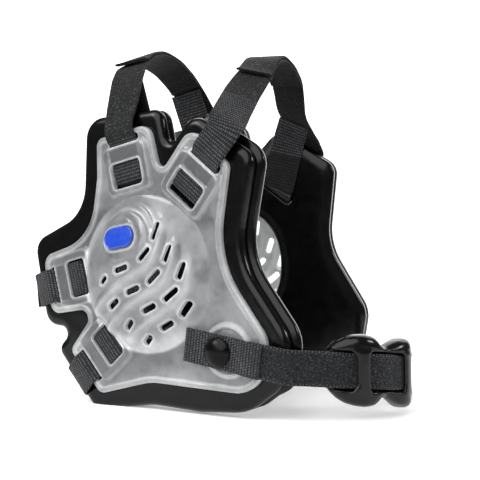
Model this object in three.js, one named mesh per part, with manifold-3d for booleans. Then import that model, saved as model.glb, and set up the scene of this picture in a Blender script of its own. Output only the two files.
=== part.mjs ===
// Wrestling ear guard: two padded plastic ear shells joined by two crown straps, two nape straps
// and a chin strap with its cup.
// Millimetres. +X points to the face, +Y to the wearer's left, +Z up. The pads stand on Z = 0.
import * as THREE from "three";
import { mergeVertices } from "three/addons/utils/BufferGeometryUtils.js";
import Module from "manifold-3d";

const wasm = await Module();
wasm.setup();

// Placing of the right guard. The left one is its mirror image across the middle plane.
const GUARD_X = -13.86;
const GUARD_Z = 80;
const GUARD_HALF_GAP = 59.4;
const TOE = THREE.MathUtils.degToRad(10.4);

// Shell plate and its rim.
const PLATE = 2.0;
const RIM_HEIGHT = 1.2;
const RIM_WIDTH = 3.4;
const RIM_EDGE = 0.8;

// Ear dome.
const DOME_U = -0.5;
const DOME_V = -8;
const DOME_RADIUS = 41.5;
const DOME_RISE = 11;
const DOME_POWER = 2.5;
const DOME_WALL = 2.0;
const DOME_SIDES = 24;

// Strap anchors, measured from the middle of the inner window along the strap.
const WINDOW_HALF = 6.3;
const WINDOW_WIDTH = 18.8;
const BAR_END = 16.2;
const SLOT_END = 20.6;
const POD_START = -10.2;
const POD_WIDTH = 26;
const POD_TOP = 5.0;
const CHANNEL_TOP = 2.7;

// Pad.
const PAD_FRONT = -0.3;
const PAD_BACK = -12.3;
const EAR_HALF_U = 30.5;
const EAR_HALF_V = 36;
const EAR_POWER = 2.6;
const EAR_POINTS = 32;
const SLIT_THICK = 3.4;
const SLIT_WIDTH = 20;
const SLIT_FRONT_Q = -4;
const SLIT_BACK_Q = 2.5;

// Straps.
const WEB_WIDTH = 17.5;
const WEB_THICK = 1.4;
const LEG_OUT = 4.8;
const LEG_BEHIND_BAR = 1.2;
const LEG_IN = -13.7;
const OVERLAP_STEP = 2.4;
const JOIN_STEP = 2.1;
const PILE_THICK = 1.6;

// Snap, ring and badge.
const SNAP_U = 47.5;
const SNAP_V = -45.7;
const RING_U = 51;
const RING_V = -45.4;
const HOLE_RADIUS = 2.2;
const BADGE_U = -13.4;
const BADGE_V = 11.5;
const BOSS_RADIUS = 12.5;
const BOSS_HIGH = 5;
const BOSS_TOP = 1.2;
const BOSS_TILT = THREE.MathUtils.degToRad(9);
const BADGE_LONG = 20;
const BADGE_HIGH = 11;
const BADGE_THICK = 1.6;
const GAP = 0.3;
const ARC_STEP = 32;

// Turned sections: radius and depth. The snap runs from its stud behind the tab to its domed cap.
const RING_PROFILE = [
  { r: 11.4, w: 1 },
  { r: 14.6, w: 1 },
  { r: 14.2, w: 3.4 },
  { r: 12, w: 3.4 },
  { r: 11.4, w: 1 },
];
const SNAP_PROFILE = [
  { r: 0, w: GAP },
  { r: 1.7, w: GAP },
  { r: 1.7, w: 2.3 },
  { r: 5.5, w: 2.3 },
  { r: 5.5, w: 4 },
  { r: 1.7, w: 4 },
  { r: 1.7, w: 6 },
  { r: 7.4, w: 6 },
  { r: 7.6, w: 6.6 },
  { r: 6.6, w: 8.2 },
  { r: 3.6, w: 9.2 },
  { r: 0, w: 9.6 },
];

// Corners of the shell outline, anticlockwise from outside: forward, up, corner radius.
const SHELL_CORNERS = [
  { u: 3.2, v: 71.2, r: 7 },
  { u: -32.5, v: 64.8, r: 5 },
  { u: -32.6, v: 44, r: 30 },
  { u: -38.2, v: 11.5, r: 29 },
  { u: -73.3, v: 1, r: 7 },
  { u: -67.5, v: -31.3, r: 6 },
  { u: -34, v: -26.6, r: 4.8 },
  { u: -54.2, v: -50.8, r: 4 },
  { u: -32.8, v: -73.4, r: 6 },
  { u: 2, v: -64.6, r: 40 },
  { u: 74.2, v: -66.8, r: 19 },
  { u: 74.2, v: -37.9, r: 14 },
  { u: 45, v: 0.4, r: 50 },
  { u: 53.3, v: 48, r: 5 },
  { u: 30, v: 68.2, r: 8 },
  { u: 10.1, v: 44.2, r: 3.8 },
];

// Corners of the pad outline, in the same order.
const PAD_CORNERS = [
  { u: 12, v: 79.3, r: 7 },
  { u: -43.2, v: 76.8, r: 8 },
  { u: -45.2, v: 46, r: 30 },
  { u: -46.5, v: 25.5, r: 24 },
  { u: -84.3, v: 9.5, r: 10 },
  { u: -79.5, v: -37, r: 10 },
  { u: -56, v: -39.5, r: 4 },
  { u: -67.5, v: -51, r: 5 },
  { u: -40, v: -83.5, r: 8 },
  { u: 0, v: -77, r: 50 },
  { u: 30, v: -81, r: 40 },
  { u: 84.5, v: -81, r: 26 },
  { u: 84.5, v: -36, r: 18 },
  { u: 55.5, v: 1.5, r: 40 },
  { u: 65.5, v: 55.5, r: 8 },
  { u: 29, v: 76.5, r: 9 },
  { u: 13, v: 57.5, r: 3.5 },
];

// Edge of the pad from front to back: depth and how far it is drawn in.
// The deepest step is the groove between its two layers.
const PAD_EDGE = [
  { w: PAD_FRONT, inset: 2.4 },
  { w: -1.8, inset: 0 },
  { w: -5.6, inset: 0 },
  { w: -6.4, inset: 1.1 },
  { w: -7.2, inset: 0.1 },
  { w: -10.9, inset: 0.7 },
  { w: PAD_BACK, inset: 3.4 },
];

// Middle of each inner window, the way its strap leaves and the way the inner leg runs,
// in degrees from forward.
const ANCHORS = {
  crown_rear: { u: -11.8, v: 45.4, out: 101.4, leg: 101.4 },
  crown_front: { u: 26.7, v: 36.5, out: 51.3, leg: 76 },
  nape_upper: { u: -47.5, v: -10.4, out: 194, leg: 194 },
  nape_lower: { u: -26.8, v: -45.7, out: 221.5, leg: 215 },
};

// Vent slots: rows of arcs about the badge, by radius, with the bearing of each slot in degrees.
const VENT_ROWS = [
  { radius: 24, bearings: [8, -27, -72, -112] },
  { radius: 34, bearings: [-12, -38, -68, -95] },
  { radius: 45.5, bearings: [-21, -39, -60, -80] },
  { radius: 57, bearings: [-38, -54, -69] },
];
const VENT_LONG = 8.6;
const VENT_WIDE = 2.6;

// Paths of the straps from the right guard over to the middle plane: forward, left, up, bend radius,
// and the turn of the strap's width in the side view, in degrees from forward.
const ARCHES = {
  crown_rear: {
    exit: 36,
    away: [0, 0, 1],
    path: [
      { x: -19.5, y: -47, z: 167, r: 14, turn: 4 },
      { x: -21.5, y: -37.5, z: 182, r: 16, turn: 0 },
      { x: -24, y: -19, z: 194, r: 30, turn: 0 },
      { x: -25, y: 0, z: 198, r: 40, turn: 0 },
    ],
  },
  crown_front: {
    exit: 39,
    away: [0, 0, 1],
    path: [
      { x: 48.5, y: -59.5, z: 155.5, r: 12, turn: -34 },
      { x: 47.5, y: -44, z: 167, r: 40, turn: -28 },
      { x: 48, y: -28, z: 180, r: 20, turn: -20 },
      { x: 48, y: -13.5, z: 189.5, r: 20, turn: -8 },
      { x: 47.5, y: 0, z: 192.5, r: 25, turn: 0 },
    ],
  },
  nape_upper: {
    exit: 37,
    away: [-1, 0, 0],
    path: [
      { x: -91.5, y: -37, z: 59.5, r: 9, turn: 98 },
      { x: -98.5, y: -20, z: 58.5, r: 20, turn: 92 },
      { x: -101, y: 0, z: 58, r: 40, turn: 90 },
    ],
  },
  nape_lower: {
    exit: 36.5,
    away: [-1, 0, 0],
    path: [
      { x: -62.5, y: -45.5, z: 10.6, r: 7, turn: 124 },
      { x: -70.5, y: -26, z: 11.4, r: 16, turn: 114 },
      { x: -73, y: 0, z: 12, r: 40, turn: 110 },
    ],
  },
};

// How far past the middle plane the free end of each strap half reaches.
const LAPS = { crown_rear: 38, crown_front: 29, nape_upper: 21, nape_lower: 27 };

// Chin tabs and the chin strap.
const TAB_START = -20.5;
const TAB_END = 25.5;
const TAB_RISE = 10;
const TAB_LEVEL = 5;
const TAB_OVER = 6.7;
const STRAP_START = 17;
const STRAP_EDGE = 29.5;
const STRAP_CLEAR = 40.5;
const TAB_SLOPES = { right: -8, left: -30 };
const CHIN_PATH = [
  { x: 91.5, y: -73, z: 28, r: 10 },
  { x: 108, y: -61, z: 26, r: 40 },
  { x: 124, y: -49.5, z: 24.5, r: 20 },
  { x: 129, y: -20, z: 20, r: 30 },
  { x: 124, y: 5, z: 15, r: 50 },
  { x: 112, y: 32, z: 11.5, r: 60 },
  { x: 102, y: 57, z: 10.5, r: 40 },
  { x: 95, y: 76, z: 10.2, r: 10 },
];

// Chin cup: half its height at each distance from its waist, along the strap.
const CUP_HEIGHTS = [
  { s: -30, half: 8 },
  { s: -27, half: 14 },
  { s: -21, half: 17.5 },
  { s: -13, half: 18 },
  { s: -6.5, half: 17 },
  { s: -2.5, half: 13.2 },
  { s: 0, half: 12.3 },
];
const CUP_BACK = -9.2;
const CUP_FRONT = -1.4;
const CUP_CHAMFER = 2.2;
const BRIDGE_S = 9.5;
const BRIDGE_LONG = 7;
const BRIDGE_TOP = 4.4;
const BRIDGE_HALF = 13;
const BRIDGE_CLEAR = 9.6;

const COLOURS = {
  shell: 0xc4c6c8,
  pad: 0x141416,
  web: 0x3a3b3e,
  pile: 0x2c2d30,
  cap: 0x0c0c0d,
  badge: 0x2746a8,
};

const vec = (x, y, z) => new THREE.Vector3(x, y, z);

/** Closed outline with rounded corners, as flat points. */
function roundedOutline(corners) {
  const points = [];
  corners.forEach((c, i) => {
    const here = new THREE.Vector2(c.u, c.v);
    const before = corners.at(i - 1);
    const after = corners[(i + 1) % corners.length];
    const back = new THREE.Vector2(before.u, before.v).sub(here).normalize();
    const on = new THREE.Vector2(after.u, after.v).sub(here).normalize();
    points.push(...arcPoints(here, back, on, c.r, ARC_STEP));
  });
  return points;
}

/** Points of the arc that rounds one corner between its two directions. */
function arcPoints(here, back, on, radius, stepDegrees) {
  const half = Math.acos(THREE.MathUtils.clamp(back.dot(on), -1, 1)) / 2;
  const turn = Math.PI - 2 * half;
  if (turn < 0.01) return [here.clone()];
  const centre = back.clone().add(on).normalize().multiplyScalar(radius / Math.sin(half)).add(here);
  const start = back.clone().multiplyScalar(radius / Math.tan(half)).add(here).sub(centre);
  const end = on.clone().multiplyScalar(radius / Math.tan(half)).add(here).sub(centre);
  const count = Math.max(2, Math.ceil(THREE.MathUtils.radToDeg(turn) / stepDegrees));
  return Array.from({ length: count + 1 }, (_, k) => {
    const f = k / count;
    const a = start.clone().multiplyScalar(Math.sin((1 - f) * turn) / Math.sin(turn));
    return a.add(end.clone().multiplyScalar(Math.sin(f * turn) / Math.sin(turn))).add(centre);
  });
}

/** The same outline drawn in by a distance. */
function drawnIn(outline, inset) {
  const count = outline.length;
  return outline.map((p, i) => {
    const along = outline[(i + 1) % count].clone().sub(outline.at(i - 1)).normalize();
    return new THREE.Vector2(p.x - along.y * inset, p.y + along.x * inset);
  });
}

/** Closed solid through rings of equal point counts, with flat ends. */
function loft(rings) {
  const size = rings[0].length;
  const flat = rings.flatMap((ring) => ring.flatMap((p) => [p.x, p.y, p.z]));
  const index = [];
  for (let k = 0; k + 1 < rings.length; k++)
    for (let i = 0; i < size; i++) {
      const a = k * size + i;
      const b = k * size + ((i + 1) % size);
      index.push(a, b, b + size, a, b + size, a + size);
    }
  for (const end of [0, rings.length - 1]) {
    const ring = flattened(rings[end]);
    const faces = THREE.ShapeUtils.triangulateShape(ring, []);
    const base = end * size;
    for (const [a, b, c] of faces)
      index.push(...(end ? [base + a, base + b, base + c] : [base + a, base + c, base + b]));
  }
  const made = new THREE.BufferGeometry();
  made.setAttribute("position", new THREE.Float32BufferAttribute(flat, 3));
  made.setIndex(index);
  return made;
}

/** A ring of points in space, laid out in its own plane. */
function flattened(ring) {
  const normal = vec(0, 0, 0);
  ring.forEach((p, i) => normal.add(p.clone().cross(ring[(i + 1) % ring.length])));
  normal.normalize();
  const side = Math.abs(normal.z) > 0.5 ? vec(1, 0, 0) : vec(0, 0, 1);
  const across = side.sub(normal.clone().multiplyScalar(side.dot(normal))).normalize();
  const up = normal.clone().cross(across);
  return ring.map((p) => new THREE.Vector2(p.dot(across), p.dot(up)));
}

/** Outline at a depth, as points in space. */
function atDepth(outline, w) {
  return outline.map((p) => vec(p.x, p.y, w));
}

function toSolid(geometry) {
  const bare = new THREE.BufferGeometry();
  bare.setAttribute("position", geometry.getAttribute("position"));
  bare.setIndex(geometry.getIndex());
  const merged = mergeVertices(bare, 1e-4);
  const mesh = new wasm.Mesh({
    numProp: 3,
    vertProperties: new Float32Array(merged.getAttribute("position").array),
    triVerts: new Uint32Array(merged.getIndex().array),
  });
  return new wasm.Manifold(mesh);
}

function toGeometry(solid) {
  const mesh = solid.getMesh();
  const made = new THREE.BufferGeometry();
  made.setAttribute("position", new THREE.BufferAttribute(new Float32Array(mesh.vertProperties), 3));
  made.setIndex(new THREE.BufferAttribute(new Uint32Array(mesh.triVerts), 1));
  made.computeVertexNormals();
  return made;
}

function named(name, geometry, colour) {
  const material = new THREE.MeshStandardMaterial({ color: COLOURS[colour], roughness: 0.6 });
  const mesh = new THREE.Mesh(geometry, material);
  mesh.name = name;
  return mesh;
}

/** Frame of an anchor in the guard: along the strap, across it, and out of the shell. */
function anchorMatrix(anchor) {
  const turn = THREE.MathUtils.degToRad(anchor.out);
  return new THREE.Matrix4().makeRotationZ(turn).setPosition(anchor.u, anchor.v, 0);
}

/** Block given by its reach along, across and out, placed by a matrix. */
function block(along, across, out, matrix) {
  const size = [along, across, out].map(([low, high]) => high - low);
  const middle = [along, across, out].map(([low, high]) => (low + high) / 2);
  const made = new THREE.BoxGeometry(...size);
  made.translate(...middle);
  if (matrix) made.applyMatrix4(matrix);
  return toSolid(made);
}

/** Turned solid about the outward axis at a place on the guard. */
function turned(profile, sides, u, v) {
  const made = new THREE.LatheGeometry(profile.map(({ r, w }) => new THREE.Vector2(r, w)), sides);
  made.rotateX(Math.PI / 2);
  made.translate(u, v, 0);
  return made;
}

/** Height of the dome above its base at a share of its radius. */
function domeRise(share) {
  return DOME_RISE * (1 - share ** DOME_POWER);
}

/** Depth of the dome's outside at a place on the guard. */
function domeSurface(u, v) {
  const share = Math.hypot(u - DOME_U, v - DOME_V) / DOME_RADIUS;
  return PLATE + domeRise(Math.min(share, 1));
}

function domeProfile(radius, base, low) {
  const shares = [1, 0.9, 0.72, 0.44];
  const wall = shares.map((share) => ({ r: radius * share, w: base + domeRise(share) }));
  return [{ r: 0, w: low }, { r: radius, w: low }, ...wall, { r: 0, w: base + DOME_RISE }];
}

/** Slot with round ends, along X and centred, through everything. */
function slotShape(long, wide, depth, curveSegments) {
  const shape = new THREE.Shape();
  const reach = (long - wide) / 2;
  shape.absarc(reach, 0, wide / 2, -Math.PI / 2, Math.PI / 2);
  shape.absarc(-reach, 0, wide / 2, Math.PI / 2, Math.PI * 1.5);
  return new THREE.ExtrudeGeometry(shape, { depth, bevelEnabled: false, curveSegments });
}

function ventCutters() {
  return VENT_ROWS.flatMap((row) =>
    row.bearings.map((bearing) => {
      const turn = THREE.MathUtils.degToRad(bearing);
      const cutter = slotShape(VENT_LONG, VENT_WIDE, DOME_RISE * 2, 2);
      cutter.rotateZ(turn + Math.PI / 2);
      cutter.translate(BADGE_U + row.radius * Math.cos(turn), BADGE_V + row.radius * Math.sin(turn), 0.5);
      return toSolid(cutter);
    }),
  );
}

/** Frame of the badge boss, leaning with the dome. */
function bossMatrix() {
  const lean = Math.atan2(BADGE_V - DOME_V, BADGE_U - DOME_U);
  const axis = vec(-Math.sin(lean), Math.cos(lean), 0);
  const turn = new THREE.Matrix4().makeRotationAxis(axis, BOSS_TILT);
  return turn.setPosition(BADGE_U, BADGE_V, domeSurface(BADGE_U, BADGE_V));
}

function shellGeometry() {
  const outline = roundedOutline(SHELL_CORNERS);
  const rings = [
    atDepth(outline, 0),
    atDepth(outline, PLATE + RIM_HEIGHT - RIM_EDGE),
    atDepth(drawnIn(outline, RIM_EDGE), PLATE + RIM_HEIGHT),
    atDepth(drawnIn(outline, RIM_WIDTH - RIM_EDGE), PLATE + RIM_HEIGHT),
    atDepth(drawnIn(outline, RIM_WIDTH), PLATE),
  ];
  let solid = toSolid(loft(rings));
  const added = [toSolid(turned(domeProfile(DOME_RADIUS, PLATE, 0.5), DOME_SIDES, DOME_U, DOME_V))];
  const boss = new THREE.CylinderGeometry(BOSS_RADIUS - 1, BOSS_RADIUS, BOSS_HIGH, 18);
  boss.rotateX(Math.PI / 2);
  boss.translate(0, 0, BOSS_TOP - BOSS_HIGH / 2);
  boss.applyMatrix4(bossMatrix());
  added.push(toSolid(boss));
  added.push(toSolid(turned(RING_PROFILE, 18, RING_U, RING_V)));
  const cut = [toSolid(turned(domeProfile(DOME_RADIUS - DOME_WALL, 0, -1), DOME_SIDES, DOME_U, DOME_V))];
  const hole = new THREE.CylinderGeometry(HOLE_RADIUS, HOLE_RADIUS, POD_TOP * 2, 12);
  hole.rotateX(Math.PI / 2);
  hole.translate(SNAP_U, SNAP_V, 0);
  cut.push(toSolid(hole), ...ventCutters());
  for (const anchor of Object.values(ANCHORS)) {
    const place = anchorMatrix(anchor);
    const half = WINDOW_WIDTH / 2;
    added.push(block([POD_START, BAR_END], [-POD_WIDTH / 2, POD_WIDTH / 2], [0.5, POD_TOP], place));
    cut.push(block([-WINDOW_HALF, SLOT_END], [-half, half], [-1, CHANNEL_TOP], place));
    cut.push(block([-WINDOW_HALF, WINDOW_HALF], [-half, half], [-1, POD_TOP + 8], place));
    cut.push(block([BAR_END, SLOT_END], [-half, half], [-1, POD_TOP + 1], place));
  }
  for (const piece of added) solid = solid.add(piece);
  for (const piece of cut) solid = solid.subtract(piece);
  return toGeometry(solid);
}

/** Ear hole outline, a rounded oval. */
function earOutline() {
  return Array.from({ length: EAR_POINTS }, (_, i) => {
    const turn = (2 * Math.PI * i) / EAR_POINTS;
    const c = Math.cos(turn);
    const s = Math.sin(turn);
    const u = Math.sign(c) * Math.abs(c) ** (2 / EAR_POWER) * EAR_HALF_U;
    const v = Math.sign(s) * Math.abs(s) ** (2 / EAR_POWER) * EAR_HALF_V;
    return new THREE.Vector2(u + DOME_U, v + DOME_V);
  });
}

function padGeometry() {
  const outline = roundedOutline(PAD_CORNERS);
  const rings = PAD_EDGE.map(({ w, inset }) => atDepth(drawnIn(outline, inset), w)).reverse();
  let solid = toSolid(loft(rings));
  const ear = earOutline();
  const hole = [
    atDepth(drawnIn(ear, -2.5), PAD_BACK - 0.5),
    atDepth(drawnIn(ear, -0.6), PAD_BACK + 1.6),
    atDepth(ear, PAD_BACK + 4),
    atDepth(ear, PAD_FRONT + 1),
  ];
  solid = solid.subtract(toSolid(loft(hole)));
  for (const anchor of Object.values(ANCHORS)) {
    const lean = Math.atan2(SLIT_BACK_Q - SLIT_FRONT_Q, LEG_BEHIND_BAR - LEG_IN);
    const middle = (SLIT_FRONT_Q + SLIT_BACK_Q) / 2;
    const slant = new THREE.Matrix4().makeRotationY(-lean);
    slant.setPosition(middle, 0, (LEG_BEHIND_BAR + LEG_IN) / 2);
    const reach = [-12, 12];
    const width = [-SLIT_WIDTH / 2, SLIT_WIDTH / 2];
    const place = anchorMatrix(anchor).multiply(slant);
    solid = solid.subtract(block([-SLIT_THICK / 2, SLIT_THICK / 2], width, reach, place));
  }
  const floor = block([-200, 200], [-200, -GUARD_Z], [-40, 40]);
  return toGeometry(solid.subtract(floor));
}

function badgeGeometry() {
  const cap = slotShape(BADGE_LONG, BADGE_HIGH, BADGE_THICK, 6);
  cap.rotateZ(THREE.MathUtils.degToRad(5));
  cap.translate(0, 0, BOSS_TOP + GAP);
  cap.applyMatrix4(bossMatrix());
  return toGeometry(toSolid(cap));
}

function snapGeometry() {
  return toGeometry(toSolid(turned(SNAP_PROFILE, 16, SNAP_U, SNAP_V)));
}

/** Matrix from the right guard's own frame to the part's frame. */
function guardMatrix() {
  const forward = vec(Math.cos(TOE), -Math.sin(TOE), 0);
  const outward = vec(-Math.sin(TOE), -Math.cos(TOE), 0);
  const basis = new THREE.Matrix4().makeBasis(forward, vec(0, 0, 1), outward);
  return basis.setPosition(GUARD_X, -GUARD_HALF_GAP, GUARD_Z);
}

/** Stations along a path of straight runs with rounded bends: place and the way across the strap. */
function stationsOf(path) {
  const stations = [];
  path.forEach((corner, i) => {
    const before = path[i - 1];
    const after = path[i + 1];
    if (!before || !after) {
      stations.push({ p: corner.p.clone(), b: corner.b.clone() });
      return;
    }
    const back = before.p.clone().sub(corner.p);
    const on = after.p.clone().sub(corner.p);
    const room = Math.min(back.length(), on.length()) * 0.48;
    back.normalize();
    on.normalize();
    const half = Math.acos(THREE.MathUtils.clamp(back.dot(on), -1, 1)) / 2;
    const radius = Math.min(corner.r, room * Math.tan(half));
    const bend = arcPoints(corner.p, back, on, radius, ARC_STEP);
    stations.push(...bend.map((p) => ({ p, b: corner.b.clone() })));
  });
  return stations;
}

/** Tangent, across and face directions at each station. */
function framed(stations) {
  return stations.map((here, i) => {
    const before = stations[Math.max(i - 1, 0)].p;
    const after = stations[Math.min(i + 1, stations.length - 1)].p;
    const t = after.clone().sub(before).normalize();
    const b = here.b.clone().sub(t.clone().multiplyScalar(here.b.dot(t))).normalize();
    return { p: here.p, t, b, n: b.clone().cross(t) };
  });
}

/** Flat strap along a path. */
function ribbon(path, width, thick) {
  const rings = framed(stationsOf(path)).map(({ p, b, n }) => {
    const corner = (x, y) => {
      const edge = p.clone().addScaledVector(b, (x * width) / 2);
      return edge.addScaledVector(n, (y * thick) / 2);
    };
    return [corner(-1, -1), corner(-1, 1), corner(1, 1), corner(1, -1)];
  });
  const solid = toSolid(loft(rings));
  return solid.volume() < 0 ? toSolid(loft(rings.map((ring) => ring.reverse()))) : solid;
}

/** One half of a strap: inner leg, slit, behind the bar, out over the shell's end, over to the other half. */
function strapPath(key, step) {
  const anchor = ANCHORS[key];
  const arch = ARCHES[key];
  const guard = guardMatrix();
  const bearing = (degrees) => {
    const turn = THREE.MathUtils.degToRad(degrees);
    return vec(Math.cos(turn), Math.sin(turn), 0).transformDirection(guard);
  };
  const middle = vec(anchor.u, anchor.v, 0).applyMatrix4(guard);
  const outward = vec(0, 0, 1).transformDirection(guard);
  const along = bearing(anchor.out);
  const across = bearing(anchor.out - 90);
  const place = (q, w) => middle.clone().addScaledVector(along, q).addScaledVector(outward, w);
  const slitEnd = place(SLIT_BACK_Q, LEG_IN);
  const leg = (reach) => slitEnd.clone().addScaledVector(bearing(anchor.leg), reach);
  const own = arch.path.map((row) => {
    const turn = THREE.MathUtils.degToRad(row.turn);
    return { p: vec(row.x + GUARD_X, row.y, row.z), r: row.r, b: vec(Math.cos(turn), 0, Math.sin(turn)) };
  });
  const away = vec(...arch.away);
  const faceOf = (before, after, b) => {
    const face = after.clone().sub(before).cross(b).normalize();
    return face.dot(away) < 0 ? face.negate() : face;
  };
  const join = own[1].p.clone().lerp(own[0].p, 0.25);
  join.addScaledVector(faceOf(own[0].p, own[1].p, own[1].b), -JOIN_STEP);
  const path = [
    { p: join, r: 0, b: own[1].b },
    { p: leg(arch.exit - 6), r: 12, b: bearing(anchor.leg - 90) },
    { p: leg(6), r: 20, b: across },
    { p: slitEnd, r: 1.8, b: across },
    { p: place(SLIT_FRONT_Q, LEG_BEHIND_BAR), r: 1.8, b: across },
    { p: place(BAR_END + 0.6, LEG_BEHIND_BAR), r: 3, b: across },
    { p: place(SLOT_END - 0.2, LEG_OUT), r: 3, b: across },
    { p: place(arch.exit, LEG_OUT - 2), r: 9, b: across },
  ];
  const other = own.slice(0, -1).reverse().map(({ p, r, b }) => ({ p: vec(p.x, -p.y, p.z), r, b }));
  const rest = [...own, ...other].filter(({ p }) => p.y <= LAPS[key]);
  rest.forEach(({ p, r, b }, i) => {
    const before = rest[i - 1]?.p ?? path.at(-1).p;
    const after = rest[i + 1]?.p ?? p;
    const share = i / (rest.length - 1);
    path.push({ p: p.clone().addScaledVector(faceOf(before, after, b), step * share), r, b });
  });
  return path;
}

function strapHalf(key, step) {
  return toGeometry(ribbon(strapPath(key, step), WEB_WIDTH, WEB_THICK));
}

/** Point along a chin tab, from the snap, at a depth. */
function tabPlace(slope, reach, w, guard) {
  const turn = THREE.MathUtils.degToRad(slope);
  return vec(SNAP_U + reach * Math.cos(turn), SNAP_V + reach * Math.sin(turn), w).applyMatrix4(guard);
}

function tabAcross(slope, guard) {
  const turn = THREE.MathUtils.degToRad(slope);
  return vec(-Math.sin(turn), Math.cos(turn), 0).transformDirection(guard);
}

function chinTab(slope) {
  const guard = guardMatrix();
  const b = tabAcross(slope, guard);
  const path = [
    { p: tabPlace(slope, TAB_START, TAB_LEVEL, guard), r: 0, b },
    { p: tabPlace(slope, TAB_RISE, TAB_LEVEL, guard), r: 20, b },
    { p: tabPlace(slope, STRAP_START, TAB_OVER, guard), r: 20, b },
    { p: tabPlace(slope, TAB_END, TAB_OVER, guard), r: 0, b },
  ];
  const hole = new THREE.CylinderGeometry(HOLE_RADIUS, HOLE_RADIUS, TAB_LEVEL * 2, 12);
  hole.rotateX(Math.PI / 2);
  hole.translate(SNAP_U, SNAP_V, TAB_LEVEL);
  hole.applyMatrix4(guard);
  return toGeometry(ribbon(path, WEB_WIDTH, WEB_THICK).subtract(toSolid(hole)));
}

/** Whole chin strap, from under one tab round the cup to under the other. */
function chinPath() {
  const guard = guardMatrix();
  const mirror = new THREE.Matrix4().makeScale(1, -1, 1).multiply(guard);
  const nearB = tabAcross(TAB_SLOPES.right, guard);
  const farB = tabAcross(TAB_SLOPES.left, mirror);
  const up = vec(0, 0, 1);
  const near = [STRAP_START, STRAP_EDGE, STRAP_CLEAR].map((reach, i) => ({
    p: tabPlace(TAB_SLOPES.right, reach, i < 2 ? LEG_OUT : LEG_OUT - 1, guard),
    r: 12,
    b: nearB,
  }));
  const far = [STRAP_START, STRAP_EDGE, STRAP_CLEAR].map((reach, i) => ({
    p: tabPlace(TAB_SLOPES.left, reach, i < 2 ? LEG_OUT : LEG_OUT - 1, mirror),
    r: 12,
    b: farB,
  }));
  const middle = CHIN_PATH.map((k) => ({ p: vec(k.x + GUARD_X, k.y, k.z), r: k.r, b: up }));
  return [...near, ...middle, ...far.reverse()];
}

/** Frames along the cup, spaced by distance from its waist. */
function cupFrames() {
  const path = chinPath();
  const fine = framed(stationsOf(path));
  const lengths = [0];
  fine.slice(1).forEach((f, i) => lengths.push(lengths[i] + f.p.distanceTo(fine[i].p)));
  const waist = path[5].p;
  const gaps = fine.map((f) => f.p.distanceTo(waist));
  const nearest = gaps.indexOf(Math.min(...gaps));
  return (s) => {
    const target = THREE.MathUtils.clamp(lengths[nearest] + s, lengths[0], lengths.at(-1));
    const i = Math.min(Math.max(lengths.findIndex((d) => d >= target), 1), fine.length - 1);
    const f = (target - lengths[i - 1]) / (lengths[i] - lengths[i - 1]);
    const [a, c] = [fine[i - 1], fine[i]];
    const t = a.t.clone().lerp(c.t, f).normalize();
    const z = vec(0, 0, 1);
    const n = t.clone().cross(z).normalize();
    return { p: a.p.clone().lerp(c.p, f), t: z.clone().cross(n), z, n };
  };
}

function cupGeometry() {
  const frameAt = cupFrames();
  const mirrored = CUP_HEIGHTS.slice(0, -1).reverse().map(({ s, half }) => ({ s: -s, half }));
  const table = [...CUP_HEIGHTS, ...mirrored];
  const rings = table.map(({ s, half }) => {
    const { p, n, z } = frameAt(s);
    const at = (depth, high) => p.clone().addScaledVector(n, depth).addScaledVector(z, high);
    const c = CUP_CHAMFER;
    return [
      at(CUP_FRONT, -half + c),
      at(CUP_FRONT, half - c),
      at(CUP_FRONT - c, half),
      at(CUP_BACK + c, half),
      at(CUP_BACK, half - c),
      at(CUP_BACK, -half + c),
      at(CUP_BACK + c, -half),
      at(CUP_FRONT - c, -half),
    ];
  });
  let solid = toSolid(loft(rings));
  if (solid.volume() < 0) solid = toSolid(loft(rings.map((ring) => ring.reverse())));
  for (const s of [-BRIDGE_S, BRIDGE_S]) {
    const { p, t, n, z } = frameAt(s);
    const place = new THREE.Matrix4().makeBasis(t, z, n.clone()).setPosition(p);
    if (place.determinant() < 0) place.makeBasis(t.clone().negate(), z, n).setPosition(p);
    const along = [-BRIDGE_LONG / 2, BRIDGE_LONG / 2];
    const front = [-CUP_FRONT, BRIDGE_TOP];
    solid = solid.add(block(along, [-BRIDGE_HALF, BRIDGE_HALF], front, place));
    solid = solid.add(block(along, [BRIDGE_CLEAR, BRIDGE_HALF], [CUP_FRONT - 1, BRIDGE_TOP], place));
    solid = solid.add(block(along, [-BRIDGE_HALF, -BRIDGE_CLEAR], [CUP_FRONT - 1, BRIDGE_TOP], place));
  }
  return toGeometry(solid);
}

/** All pieces of one side, built as the right-hand side. */
function sidePieces(side) {
  const guard = new THREE.Group();
  guard.applyMatrix4(guardMatrix());
  guard.add(named(`${side}_shell`, shellGeometry(), "shell"));
  guard.add(named(`${side}_pad`, padGeometry(), "pad"));
  guard.add(named(`${side}_badge`, badgeGeometry(), "badge"));
  guard.add(named(`${side}_snap`, snapGeometry(), "cap"));
  const all = new THREE.Group();
  all.add(guard);
  const step = side === "right" ? -OVERLAP_STEP : OVERLAP_STEP;
  for (const key of Object.keys(ANCHORS)) all.add(named(`${key}_${side}`, strapHalf(key, step), "web"));
  all.add(named(`chin_tab_${side}`, chinTab(TAB_SLOPES[side]), "web"));
  return all;
}

const part = new THREE.Group();
part.add(sidePieces("right"));
const left = sidePieces("left");
left.scale.y = -1;
part.add(left);
part.add(named("chin_strap", toGeometry(ribbon(chinPath(), WEB_WIDTH, PILE_THICK)), "pile"));
part.add(named("chin_cup", cupGeometry(), "pad"));

export default part;
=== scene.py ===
"""Wrestling ear guard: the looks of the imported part, built round its frame.

Sizes are millimetres until a mesh is made, and metres after. A guard has its own frame:
u forward, v up and w outward, with w = 0 at the back of the shell plate.
"""

import logging
import math
from dataclasses import dataclass, field
from enum import Enum
from typing import Callable

import bpy
import numpy as np
from mathutils import Matrix, Vector


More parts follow.
